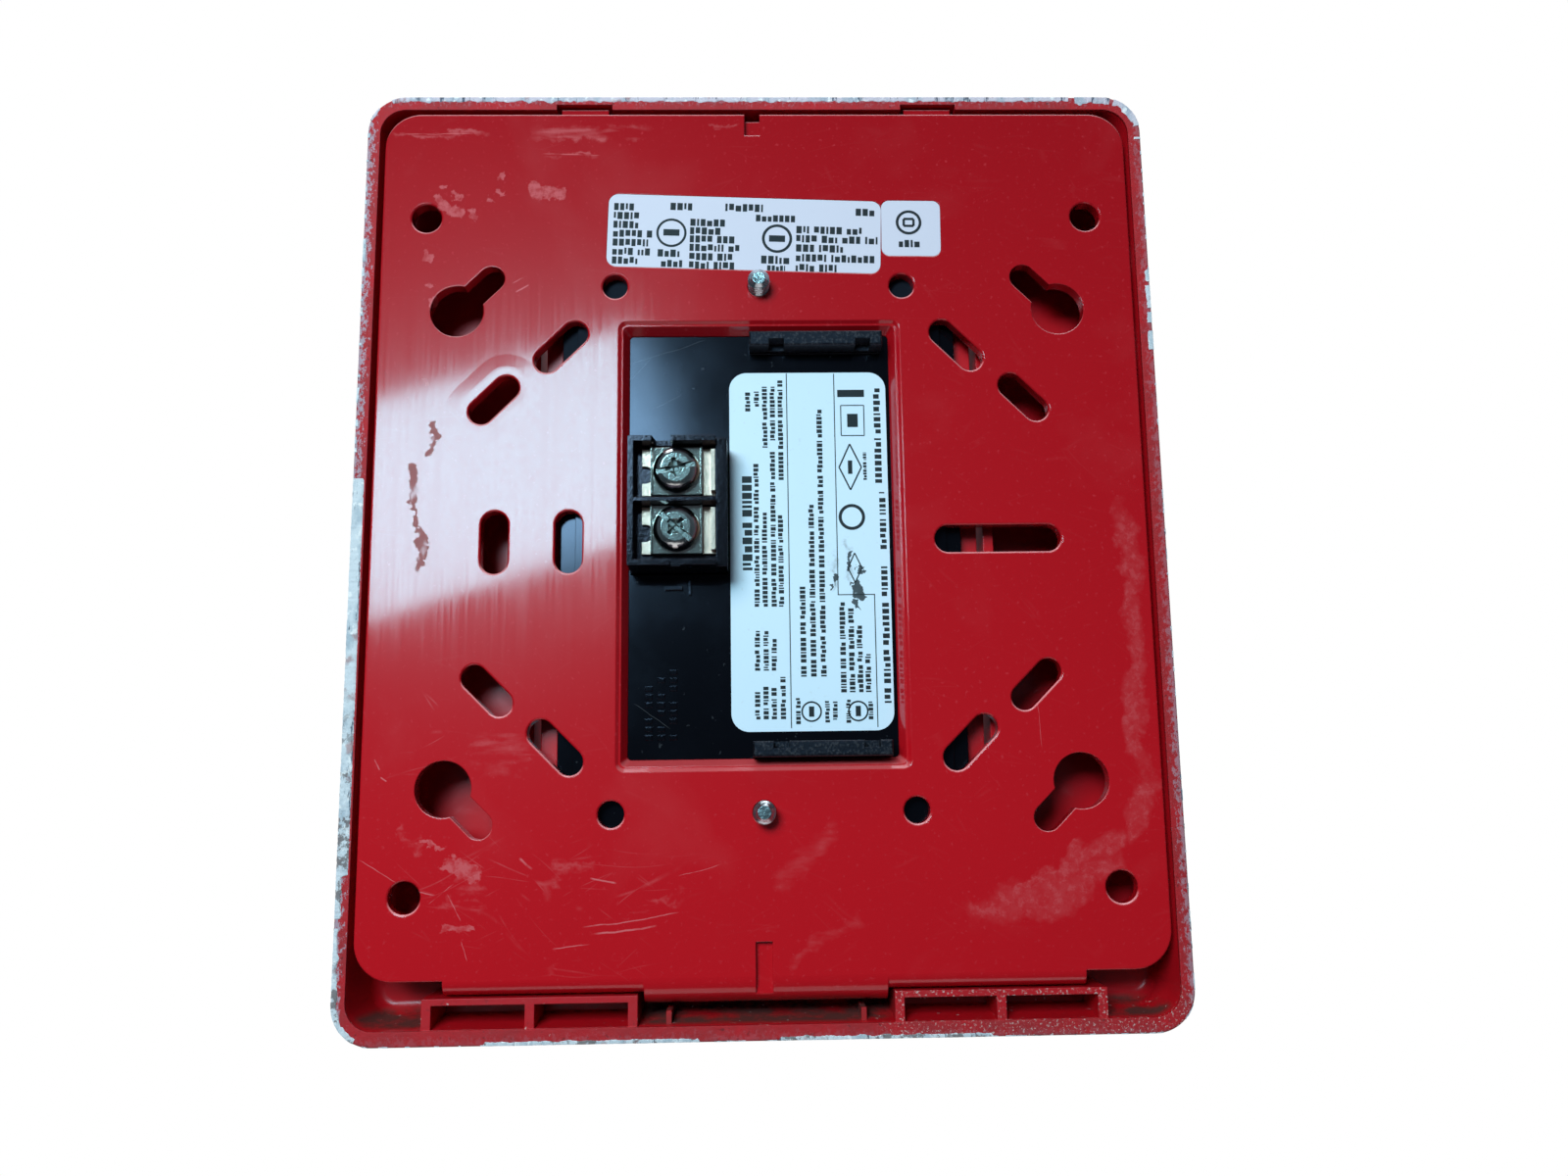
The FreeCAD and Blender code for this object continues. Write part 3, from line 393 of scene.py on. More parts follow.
def red_plate():
    """Gloss red, with painted shade that deepens it towards the top, brushed, hazed, scratched and scuffed.
    """
    paint = Paint("red_plate", RED, 0.24)
    paint.set("Specular IOR Level", 0.14)
    brushed = paint.noise(700, 3, stretch=(3.0, 1, 0.06), shift=4.1, rough=0.6)
    paint.lacquer(1.0, paint.band(brushed, 0.35, 0.65, (0.056, 0.104)))
    paint.soften(0.28)
    paint.tint(paint.noise(22, 2, shift=3.1), DARK_RED, 0.35)
    # Painted shade: the red darkens steadily from low down to the top.
    paint.tint(paint.ramp("Z", -45, 78), TOP_SHADE_RED, 0.85)
    paint.tint(paint.band(paint.noise(1400, 3, shift=9.1), 0.62, 0.74), BLOOM, 0.30)
    streaks = paint.noise(260, 3, stretch=(6.0, 1, 0.10), rough=0.6)
    paint.roughen(streaks, 0.34, 0.35)
    haze(paint)
    scratches(paint)
    pale_rubs(paint)
    brown_scuffs(paint)
    half_x, half_z = PLATE_WINDOW
    window_rim = paint.times(paint.ramp("X", half_x + 1, half_x, both_sides=True),
                             paint.ramp("Z", half_z + 1, half_z, both_sides=True))
    # Painted highlight on the rounded rear edges that face up, weaker round the window.
    paint.tint(paint.times(paint.lit_lip(), paint.band(window_rim, 0.0, 1.0, (1.0, 0.3))), LIT_RED, 0.75)
    paint.emboss(paint.noise(900, 3, stretch=(2.4, 1, 0.35), rough=0.6), 0.00002, 0.08)
    paint.emboss(paint.noise(45, 2, shift=1.7), 0.0003, 0.06)
    slot_ring(paint, (40.0, 24.85), (43.9, 20.95))
    return paint.material


def slot_ring(paint, a, b):
    """A faint raised ring round one of the slots."""
    away = paint.capsule(a, b)
    ring = paint.times(paint.band(away, 2.4 * MM, 3.2 * MM), paint.band(away, 5.6 * MM, 3.6 * MM))
    paint.emboss(ring, 0.00003, 0.5)


def haze(paint):
    """Dull mottled film down the right edge and across the lower right corner, and smears low down."""
    film = (((-57.3, 6.0), (-57.6, -38.0), 3.6), ((-58.5, -36.0), (-55.0, -47.0), 3.4),
            ((-55.5, -46.0), (-41.0, -52.0), 3.2), ((-48.0, -50.0), (-38.0, -56.0), 3.0),
            ((-55.0, -50.0), (-30.5, -56.8), 5.0), ((-47.0, -47.5), (-40.0, -53.0), 1.4),
            ((-43.0, -49.6), (-37.0, -54.2), 1.2), ((-50.5, -53.4), (-33.0, -56.0), 6.6))
    smears = (((-6.0, -62.0), (-15.0, -57.0), 2.6), ((-4.0, -63.5), (-10.0, -60.0), 1.6),
              ((-2.0, -52.0), (-12.0, -44.5), 4.0))
    paint.wander(120, 3.0)
    mottle = paint.band(paint.noise(420, 6, shift=8.0, rough=0.7), 0.42, 0.60)
    mask = paint.strokes(film, 0.6)
    paint.tint(paint.times(mask, paint.band(mottle, 0.0, 1.0, (0.45, 1.0))), SCUFF, 0.14)
    fine = paint.band(paint.noise(700, 5, shift=1.2, rough=0.7), 0.50, 0.60)
    paint.tint(paint.times(mask, fine), SCUFF, 0.14)
    everywhere = paint.band(paint.noise(38, 6, shift=5.5, warp=0.6), 0.54, 0.74)
    paint.tint(everywhere, SCUFF, 0.06)
    grain = paint.band(paint.noise(300, 4, stretch=(1, 1, 3), shift=6.6), 0.35, 0.7)
    paint.tint(paint.times(paint.strokes(smears, 0.9), grain), SCUFF, 0.16)


def scratches(paint):
    """Fine hairlines, mostly in the lower left corner, rubbed patches, and longer lines that show singly."""
    worn_corner = (((54.0, -50.0), (12.0, -58.0), 24.0), ((52.0, -22.0), (50.0, -44.0), 14.0))
    patches = (((50.0, -50.5), (40.0, -52.6), 3.2), ((49.0, -54.5), (43.0, -56.5), 3.0),
               ((33.0, -49.8), (26.0, -51.0), 2.4), ((27.0, -57.5), (13.0, -55.6), 1.8),
               ((44.0, -31.5), (35.5, -34.5), 6.0), ((55.0, -44.5), (51.0, -47.0), 2.0))
    single = (((60.3, -47.7), (54.2, -51.2), 0.14), ((51.6, -52.3), (48.6, -53.1), 0.22),
              ((27.0, -58.0), (12.6, -56.2), 0.22), ((25.8, -59.0), (16.0, -58.0), 0.35),
              ((31.3, -61.0), (25.6, -60.4), 0.2), ((13.0, -50.9), (6.0, -49.1), 0.10),
              ((26.0, -50.8), (22.0, -51.6), 0.3), ((58.5, -32.9), (57.6, -34.6), 0.25),
              ((57.5, -35.6), (56.5, -36.4), 0.25), ((44.6, -59.6), (43.6, -62.5), 0.12),
              ((-41.5, -21.5), (-42.3, -33.0), 0.08), ((58.5, 68.0), (46.0, 68.1), 0.12),
              ((35.1, 64.4), (25.4, 64.3), 0.14), ((39.6, 42.4), (35.0, 44.8), 0.22),
              ((39.0, 41.0), (36.6, 42.2), 0.3), ((36.5, -48.0), (34.5, -49.6), 0.4),
              ((47.0, -53.0), (44.8, -56.8), 0.16), ((49.6, -54.4), (46.0, -51.5), 0.14))
    paint.wander(150, 5.0)
    amount = paint.band(paint.strokes(worn_corner, 0.9), 0.0, 1.0, (0.10, 1.0))
    for angle, seed in ((1.45, 2.0), (-1.15, 9.0), (0.9, 5.0)):
        paint.tint(paint.times(hairlines(paint, angle, seed), amount), SCUFF, 0.26)
    rubbed = paint.strokes(patches, 0.95)
    streak = paint.band(paint.noise(420, 4, stretch=(0.5, 1, 2.2), shift=1.9), 0.44, 0.62)
    paint.tint(paint.times(rubbed, streak), SCUFF, 0.20)
    paint.wander(90, 0.35)
    broken = paint.band(paint.noise(260, 3), 0.38, 0.52)
    paint.tint(paint.times(paint.strokes(single), broken), SCUFF, 0.60)


def hairlines(paint, angle, seed):
    """Broken lines that all run about the same way: the edges of long thin cells, bent a little."""
    swirl = paint.add("ShaderNodeTexNoise")
    swirl.inputs["Scale"].default_value = 18
    paint.join(paint.coords, swirl.inputs["Vector"])
    bend = paint.add("ShaderNodeVectorMath", operation="MULTIPLY_ADD")
    paint.join(swirl.outputs["Color"], bend.inputs[0])
    bend.inputs[1].default_value = (0.02, 0.02, 0.02)
    paint.join(paint.coords, bend.inputs[2])
    mapping = paint.add("ShaderNodeMapping", vector_type="TEXTURE")
    mapping.inputs["Rotation"].default_value = (0, angle, 0)
    mapping.inputs["Scale"].default_value = (1, 1, 12)
    mapping.inputs["Location"].default_value = (seed * MM * 40, 0, seed * MM * 30)
    paint.join(bend.outputs[0], mapping.inputs["Vector"])
    cells = paint.add("ShaderNodeTexVoronoi", feature="DISTANCE_TO_EDGE")
    cells.inputs["Scale"].default_value = 260
    paint.join(mapping.outputs[0], cells.inputs["Vector"])
    line = paint.band(cells.outputs["Distance"], 0.022, 0.0)
    broken = paint.band(paint.noise(130, 3, shift=seed), 0.54, 0.66)
    return paint.times(line, broken)


def pale_rubs(paint):
    """Pale rubs by the upper left hole and low on the left, and a row along the top edge."""
    rubs = (((52.0, 57.7), (50.2, 55.6), 1.5), ((51.6, 56.0), (49.2, 54.8), 1.8),
            ((49.6, 57.6), (47.8, 56.4), 0.9), ((50.0, 55.0), (47.4, 53.9), 1.7),
            ((46.6, 55.0), (44.9, 53.6), 1.2), ((51.3, 59.6), (50.0, 58.9), 0.8),
            ((42.2, 60.6), (40.8, 60.2), 1.1), ((42.4, 58.2), (40.4, 57.6), 1.1),
            ((43.6, 56.5), (42.4, 56.1), 0.7), ((37.2, 59.4), (35.6, 57.2), 2.4),
            ((36.6, 57.8), (30.8, 57.4), 2.0), ((53.9, 47.8), (52.2, 46.0), 1.1),
            ((52.6, 42.6), (51.8, 41.4), 0.8), ((52.0, 39.6), (50.6, 37.9), 1.3),
            ((52.9, 27.0), (52.2, 24.9), 0.9), ((47.8, -48.4), (42.0, -50.8), 2.6),
            ((48.5, -57.4), (43.0, -57.9), 1.4), ((52.0, -45.0), (47.6, -46.6), 0.8))
    top_row = (((37.0, 68.2), (17.0, 68.2), 3.0), ((33.5, 67.4), (23.4, 67.8), 1.6),
               ((35.5, 64.4), (25.5, 64.3), 0.8), ((59.5, 68.0), (44.0, 68.2), 1.0),
               ((8.0, 69.6), (3.2, 69.4), 0.8))
    paint.wander(380, 1.3)
    solid = paint.band(paint.strokes(rubs), 0.15, 0.6)
    grain = paint.noise(700, 4, shift=4.4, rough=0.65)
    mask = paint.times(solid, paint.band(grain, 0.40, 0.56, (0.25, 1.0)))
    paint.tint(mask, SCUFF, 0.42)
    paint.roughen(mask, 0.5, 0.7)
    streak = paint.band(paint.noise(260, 5, stretch=(0.3, 1, 2.4), shift=3.0), 0.40, 0.56)
    paint.tint(paint.times(paint.strokes(top_row, 0.8), streak), SCUFF, 0.32)


def brown_scuffs(paint):
    """Brown marks in a line on the left. They, and fine pits all over, wear the lacquer's gloss away."""
    marks = (((51.9, 19.4), (50.4, 16.4), 1.0), ((50.6, 17.0), (52.2, 13.8), 1.0),
             ((54.3, 12.8), (53.9, 8.0), 1.7), ((53.9, 9.0), (53.9, 5.0), 1.0),
             ((53.8, 5.2), (53.2, 1.2), 0.6), ((53.0, 2.4), (51.8, -1.0), 1.2),
             ((52.6, 0.6), (52.3, -3.0), 2.1), ((52.4, -2.0), (52.9, -4.8), 1.1))
    paint.wander(500, 1.1)
    solid = paint.band(paint.strokes(marks), 0.2, 0.5)
    grain = paint.noise(520, 4, stretch=(1.6, 1, 0.5), shift=7.7)
    worn = paint.times(solid, paint.band(grain, 0.36, 0.46, (0.3, 1.0)))
    paint.shake = None
    paint.tint(worn, BROWN_SCUFF, 0.85)
    paint.roughen(worn, 0.75, 0.95)
    pits = paint.noise(1500, 4, stretch=(1.2, 1, 0.5), shift=5.9, rough=0.7)
    specks = paint.noise(480, 5, stretch=(1, 1, 0.6), shift=2.6, rough=0.7)
    streaks = paint.noise(420, 3, stretch=(2.6, 1, 0.05), shift=7.4, rough=0.6)
    paint.wear_lacquer(paint.largest(worn, paint.band(pits, 0.47, 0.62, (0.0, 0.20)),
                                     paint.band(specks, 0.58, 0.66, (0.0, 0.16)),
                                     paint.band(streaks, 0.45, 0.62, (0.0, 0.12))), 0.9)


def red_trim():
    """The moulded frame: clean inside, dull and chafed on its rear rim, speckled with old paint."""
    paint = Paint("red_trim", MOULDED_RED, 0.30)
    paint.soften(0.20)
    paint.tint(paint.noise(30, 3, shift=2.2), DARK_RED, 0.4)
    rim = paint.ramp("Y", *RIM_LEVEL)
    coarse = paint.noise(190, 5, shift=6.1, rough=0.65)
    paint.tint(paint.times(rim, paint.band(coarse, 0.25, 0.6)), CHAFED_RED, 0.75)
    paint.roughen(rim, 0.60)
    rim_speckle(paint, rim)
    paint.tint(paint.times(rim, paint.band(paint.noise(1300, 3, shift=8.8), 0.64, 0.70)), RED_PIT, 0.7)
    dirt(paint)
    flakes = paint.band(paint.noise(2400, 5, shift=2.4, rough=0.7), 0.57, 0.62)
    right_block = paint.times(paint.ramp("Y", -0.9, -0.3), paint.ramp("Z", -67.6, -68.0),
                              paint.ramp("X", -16, -19))
    paint.tint(paint.times(right_block, flakes), FLAKE, 0.8)
    paint.emboss(paint.noise(1500, 2), 0.00003, 0.25)
    paint.emboss(paint.times(rim, paint.noise(800, 5, shift=1.3, rough=0.7)), 0.00025, 0.7)
    return paint.material


def rim_speckle(paint, rim):
    """Grains of old paint on the rim: many down the left, some low on the right, and few elsewhere."""
    outline = paint.largest(paint.ramp("X", 61.4, 63.4, both_sides=True),
                            paint.ramp("Z", 72.5, 74.5, both_sides=True))
    fine = paint.noise(1500, 6, stretch=(1, 1, 0.6), shift=1.3, rough=0.75)
    grit = paint.math("ADD", fine, paint.band(outline, 0.0, 1.0, (-0.13, 0.07)))
    left = paint.ramp("X", 60, 61.5)
    right = paint.times(paint.ramp("X", -60, -61.5), paint.ramp("Z", 0, -30, (0.10, 0.6)))
    elsewhere = paint.ramp("Z", -66, -63, (0.10, 0.26))
    amount = paint.largest(left, right, elsewhere)
    paint.tint(paint.times(rim, amount, paint.band(grit, 0.47, 0.53)), SPECKLE, 0.88)


def dirt(paint):
    """Dark brown dust in the trough along the bottom, beside the latch blocks."""
    low = paint.ramp("Z", -65.5, -68.5)
    deep = paint.ramp("Y", -0.6, -2.5)
    beside_plate = paint.largest(paint.ramp("X", 51.5, 50.5, both_sides=True), paint.ramp("Z", -70.2, -71.0))
    inside = paint.times(paint.ramp("Y", -11.4, -11.0), paint.ramp("X", 62.4, 62.0, both_sides=True),
                         paint.ramp("Z", -73.6, -73.3), beside_plate)
    off_blocks = paint.largest(paint.ramp("X", 19.5, 18.0, both_sides=True),
                               paint.ramp("X", 50.0, 51.0, both_sides=True))
    patch = paint.band(paint.noise(110, 6, shift=2.9, rough=0.68), 0.36, 0.54)
    dust = paint.times(low, deep, patch, off_blocks, inside)
    paint.tint(dust, DUST, 0.85)
    paint.roughen(dust, 0.85)
    grains = paint.band(paint.noise(1100, 2, shift=5.0), 0.70, 0.76)
    paint.tint(paint.times(low, inside, grains), CRUMB, 0.8)


def old_paint():
    """Chipped wall paint: blue-grey white, lavender along the top, cracked, grimy low down, dusted red."""
    paint = Paint("old_paint", OLD_PAINT, 0.62)
    lavender, grey_blue, chalk = (0.60, 0.53, 0.62), (0.30, 0.39, 0.47), (0.86, 0.88, 0.90)
    crack, grime, red_dust = (0.035, 0.055, 0.10), (0.13, 0.10, 0.10), (0.30, 0.10, 0.10)
    paint.tint(paint.ramp("Z", 66, 72), lavender, 0.9)
    clouds = paint.noise(330, 5, stretch=(1, 1, 0.5), shift=2.0, rough=0.6)
    paint.tint(paint.band(clouds, 0.48, 0.62), grey_blue, 0.65)
    paint.tint(paint.band(paint.noise(700, 4, shift=5.1), 0.58, 0.66), chalk, 0.8)
    cracks = paint.noise(520, 6, stretch=(1.6, 1, 0.22), shift=7.3, rough=0.75)
    paint.tint(paint.band(cracks, 0.57, 0.61), crack, 0.9)
    blots = paint.band(paint.noise(460, 5, shift=3.3, rough=0.7), 0.52, 0.57)
    paint.tint(paint.times(paint.ramp("Z", -20, -34), blots), grime, 0.85)
    paint.tint(paint.band(paint.noise(420, 4, shift=9.4), 0.62, 0.70), red_dust, 0.6)
    paint.emboss(paint.noise(900, 5, shift=4.0, rough=0.65), 0.0003, 0.8)
    return paint.material


def red_cover():
    paint = Paint("red_cover", MOULDED_RED, 0.28)
    paint.soften(0.25)
    paint.tint(paint.noise(18, 3), DARK_RED, 0.25)
    paint.roughen(paint.noise(120, 5, shift=1.0), 0.42, 0.7)
    paint.tint(paint.band(paint.noise(48, 7, shift=7.0), 0.62, 0.74), SCUFF, 0.08)
    paint.emboss(paint.noise(1600, 2), 0.00003, 0.25)
    return paint.material


def gloss_black():
    """The sunk rear cover: a black mirror with fine lines. It is dull beside the block, along the top edge,
    and on the grained tongues that stand out of it."""
    lines = (((21.5, 29.5), (8.5, 33.6), 0.07), ((23.5, 24.0), (17.0, 31.0), 0.06),
             ((17.0, 22.0), (12.5, 24.5), 0.08), ((20.0, -25.0), (14.0, -29.0), 0.08))
    paint = Paint("gloss_black", (0.0014, 0.0018, 0.0030), 0.12)
    paint.set("IOR", 1.42)
    paint.set("Specular Tint", (0.85, 0.74, 1.0, 1.0))
    paint.soften(0.15)
    paint.tint(paint.band(paint.noise(1100, 3, shift=4.0), 0.70, 0.76), (0.10, 0.12, 0.14), 0.25)
    paint.roughen(paint.band(paint.noise(120, 4, shift=2.0, rough=0.6), 0.40, 0.7), 0.17, 0.8)
    beside = paint.times(paint.ramp("X", 21, 22), paint.ramp("Z", 8, 10))
    shaded = paint.largest(beside, paint.ramp("Z", 36.5, 37.5))
    paint.roughen(shaded, 0.62)
    moulded_faces = paint.ramp("Y", -2.2, -1.6)
    grain = paint.noise(2600, 2)
    paint.roughen(moulded_faces, 0.50)
    paint.tint(paint.times(moulded_faces, paint.band(grain, 0.5, 0.75)), (0.07, 0.072, 0.078), 0.5)
    paint.emboss(paint.times(grain, moulded_faces), 0.0001, 0.6)
    paint.wander(60, 0.5)
    paint.tint(paint.strokes(lines), (0.25, 0.28, 0.30), 0.2)
    paint.shake = None
    paint.emboss(paint.noise(30, 2), 0.0004, 0.05)
    return paint.material


def terminal_black():
    paint = Paint("terminal_black", (0.0016, 0.0019, 0.0028), 0.14)
    paint.set("IOR", 1.45)
    paint.set("Specular Tint", (1.0, 0.78, 1.0, 1.0))
    paint.soften(0.16)
    grain = paint.noise(2200, 3)
    paint.tint(paint.band(grain, 0.66, 0.78), (0.05, 0.055, 0.06), 0.2)
    paint.roughen(paint.noise(300, 4), 0.20, 0.8)
    lean_away(paint, 0.028)
    paint.emboss(grain, 0.00005, 0.5)
    return paint.material


def lean_away(paint, slope):
    """Tilts the mirror image down and aside, as on a part that doesn't sit quite parallel to the plate."""
    paint.emboss(paint.math("ADD", paint.axis("X"), paint.axis("Z")), slope, 1.0)


def darker(colour, share):
    return tuple(c * share for c in colour)


def label_film(name, colour):
    paint = Paint(name, colour, 0.38)
    paint.tint(paint.noise(26, 4, shift=1.4), darker(colour, 0.90), 0.5)
    paint.tint(paint.band(paint.noise(1500, 3), 0.66, 0.76), (0.45, 0.49, 0.51), 0.22)
    paint.roughen(paint.noise(240, 4), 0.55, 0.6)
    paint.emboss(paint.noise(60, 3, shift=3.3), 0.0002, 0.18)
    return paint


def rating_film():
    """The tall label, with black and grey smears where its film was rubbed through."""
    rubbed = (((-11.0, 0.3), (-11.6, -7.3), 1.6), ((-13.2, 0.4), (-13.8, -2.2), 1.6),
              ((-14.2, -1.8), (-14.6, -9.4), 2.0))
    torn = (((-11.2, -4.0), (-11.8, -6.4), 1.2), ((-13.9, -1.6), (-14.0, -4.2), 0.8),
            ((-14.2, -5.9), (-14.8, -9.3), 1.5), ((-15.6, -3.0), (-16.0, -4.9), 0.7),
            ((-10.4, -6.2), (-10.9, -7.2), 0.5), ((-14.4, -9.3), (-14.5, -11.0), 0.5))
    paint = label_film("rating_film", (0.66, 0.84, 0.99))
    paint.wander(300, 1.6)
    grain = paint.band(paint.noise(500, 5, shift=2.1, rough=0.7), 0.40, 0.60)
    paint.tint(paint.times(paint.strokes(rubbed, 0.8), grain), (0.28, 0.32, 0.35), 0.6)
    paint.tint(paint.band(paint.strokes(torn, 0.3), 0.35, 0.5), (0.012, 0.012, 0.015), 0.92)
    paint.shake = None
    return paint.material


def metal(name, colour, rough, grime=0.35, wave=0.5, lean=0.0, grain=1100, recess=0.0):
    """Plated metal. Grime dulls it in patches, and painted shade darkens a recess of that width in
    millimetres.
    """
    paint = Paint(name, colour, rough, metallic=1.0)
    paint.soften(0.12)
    paint.roughen(paint.noise(900, 4, shift=1.0), rough * 1.6, 0.8)
    dull = paint.band(paint.noise(420, 5, shift=5.0, rough=0.65), 0.48, 0.68)
    paint.tint(dull, darker(colour, 0.38), grime)
    if recess:
        # Painted shade deep in the screw recesses, from ambient occlusion.
        deep = paint.painted_recess_shade(recess)
        paint.tint(deep, darker(colour, 0.12), 0.9)
        paint.roughen(deep, 0.4)
    if lean:
        lean_away(paint, lean)
    paint.emboss(paint.noise(grain, 4, shift=2.0), 0.13 / grain, wave)
    return paint.material


def clear_plastic(name, tint, rough):
    paint = Paint(name, tint, rough)
    paint.set("Transmission Weight", 1.0)
    paint.set("IOR", 1.49)
    paint.roughen(paint.band(paint.noise(140, 5), 0.5, 0.8), rough + 0.10, 0.5)
    return paint.material


def moulded(name, colour, rough):
    """Plain moulded plastic with a fine grain."""
    paint = Paint(name, colour, rough)
    paint.tint(paint.noise(60, 4), darker(colour, 0.7), 0.4)
    paint.roughen(paint.noise(450, 4), min(1.0, rough + 0.15), 0.7)
    paint.emboss(paint.noise(1500, 2), 0.00004, 0.4)
    return paint.material


def board_green():
    """Solder mask with tracks that show through it, as broken brick courses."""
    paint = Paint("board_green", (0.012, 0.10, 0.035), 0.34)
    bricks = paint.add("ShaderNodeTexBrick")
    bricks.inputs["Scale"].default_value = 95
    bricks.inputs["Mortar Size"].default_value = 0.05
    swap = paint.add("ShaderNodeCombineXYZ")
    paint.join(paint.axis("X"), swap.inputs[0])
    paint.join(paint.axis("Z"), swap.inputs[1])
    paint.join(swap.outputs[0], bricks.inputs["Vector"])
    tracks = paint.times(bricks.outputs["Fac"], paint.band(paint.noise(90, 2), 0.45, 0.50))
    paint.tint(tracks, (0.03, 0.20, 0.07), 0.8)
    paint.emboss(tracks, 0.00008, 0.5)
    return paint.material


def dress(material, *names):
    """Puts the material on the nodes' objects, whatever their meshes carry."""
    for name in names:
        slots = nodes[name].data.materials
        if not slots:
            slots.append(material)
        for slot in nodes[name].material_slots:
            slot.link = "OBJECT"
            slot.material = material


PLAIN_MOULDED = (
    ("housing_black", (0.0022, 0.0022, 0.0028), 0.40, "strobe_housing"),
    ("capacitor_sleeve", (0.012, 0.020, 0.060), 0.28, "storage_capacitor"),
    ("ferrite", (0.030, 0.030, 0.033), 0.62, "transformer_core"),
    ("coil_tape", (0.60, 0.36, 0.03), 0.35, "transformer_coil"),
    ("coil_case", (0.015, 0.015, 0.020), 0.30, "trigger_coil"),
    ("film_capacitor", (0.36, 0.035, 0.015), 0.25, "trigger_capacitor"),
    ("chip_package", (0.016, 0.016, 0.017), 0.48, "control_chips"),
    ("switch_case", (0.030, 0.030, 0.034), 0.45, "selector_switch"),
    ("switch_slider", (0.68, 0.68, 0.64), 0.40, "selector_slider"),
    ("wire_sleeve", (0.60, 0.57, 0.52), 0.40, "trigger_wire"),
)


def make_materials():
    dress(red_plate(), "mounting_plate")
    dress(red_trim(), "trim_frame")
    dress(red_cover(), "strobe_cover")
    dress(gloss_black(), "strobe_rear_cover")
    dress(terminal_black(), "terminal_block")
    dress(label_film("plate_film", (0.64, 0.64, 0.76)).material, "plate_label", "approval_label")
    dress(rating_film(), "rating_label")
    dress(metal("contact_nickel", (1.0, 0.60, 0.48), 0.27, wave=0.7, lean=0.045, grain=3200),
          "contact_upper", "contact_lower")
    dress(metal("clamp_nickel", (0.86, 0.76, 0.70), 0.16, lean=0.085, grain=2600),
          "clamp_plate_upper", "clamp_plate_lower")
    dress(metal("zinc", (0.88, 0.84, 0.80), 0.15, lean=0.065, grain=2800, recess=1.3),
          "terminal_screw_upper", "terminal_screw_lower")
    dress(metal("zinc_long", (0.66, 0.67, 0.69), 0.20, wave=0.8), "mounting_screws", "board_screws")
    dress(metal("tinned_wire", (0.70, 0.68, 0.64), 0.30), "flash_tube_leads")
    dress(metal("reflector_chrome", (0.90, 0.90, 0.91), 0.07, grime=0.05, wave=0.03), "reflector")
    dress(clear_plastic("clear_lens", (0.97, 0.98, 0.98), 0.03), "lens")
    dress(clear_plastic("window_pane", (0.92, 0.93, 0.93), 0.10), "setting_window")
    dress(clear_plastic("tube_glass", (0.97, 0.97, 1.0), 0.02), "flash_tube")
    dress(board_green(), "circuit_board")
    for name, colour, rough, node in PLAIN_MOULDED:
        dress(moulded(name, colour, rough), node)


# ---- label print -------------------------------------------------------------------------------------------


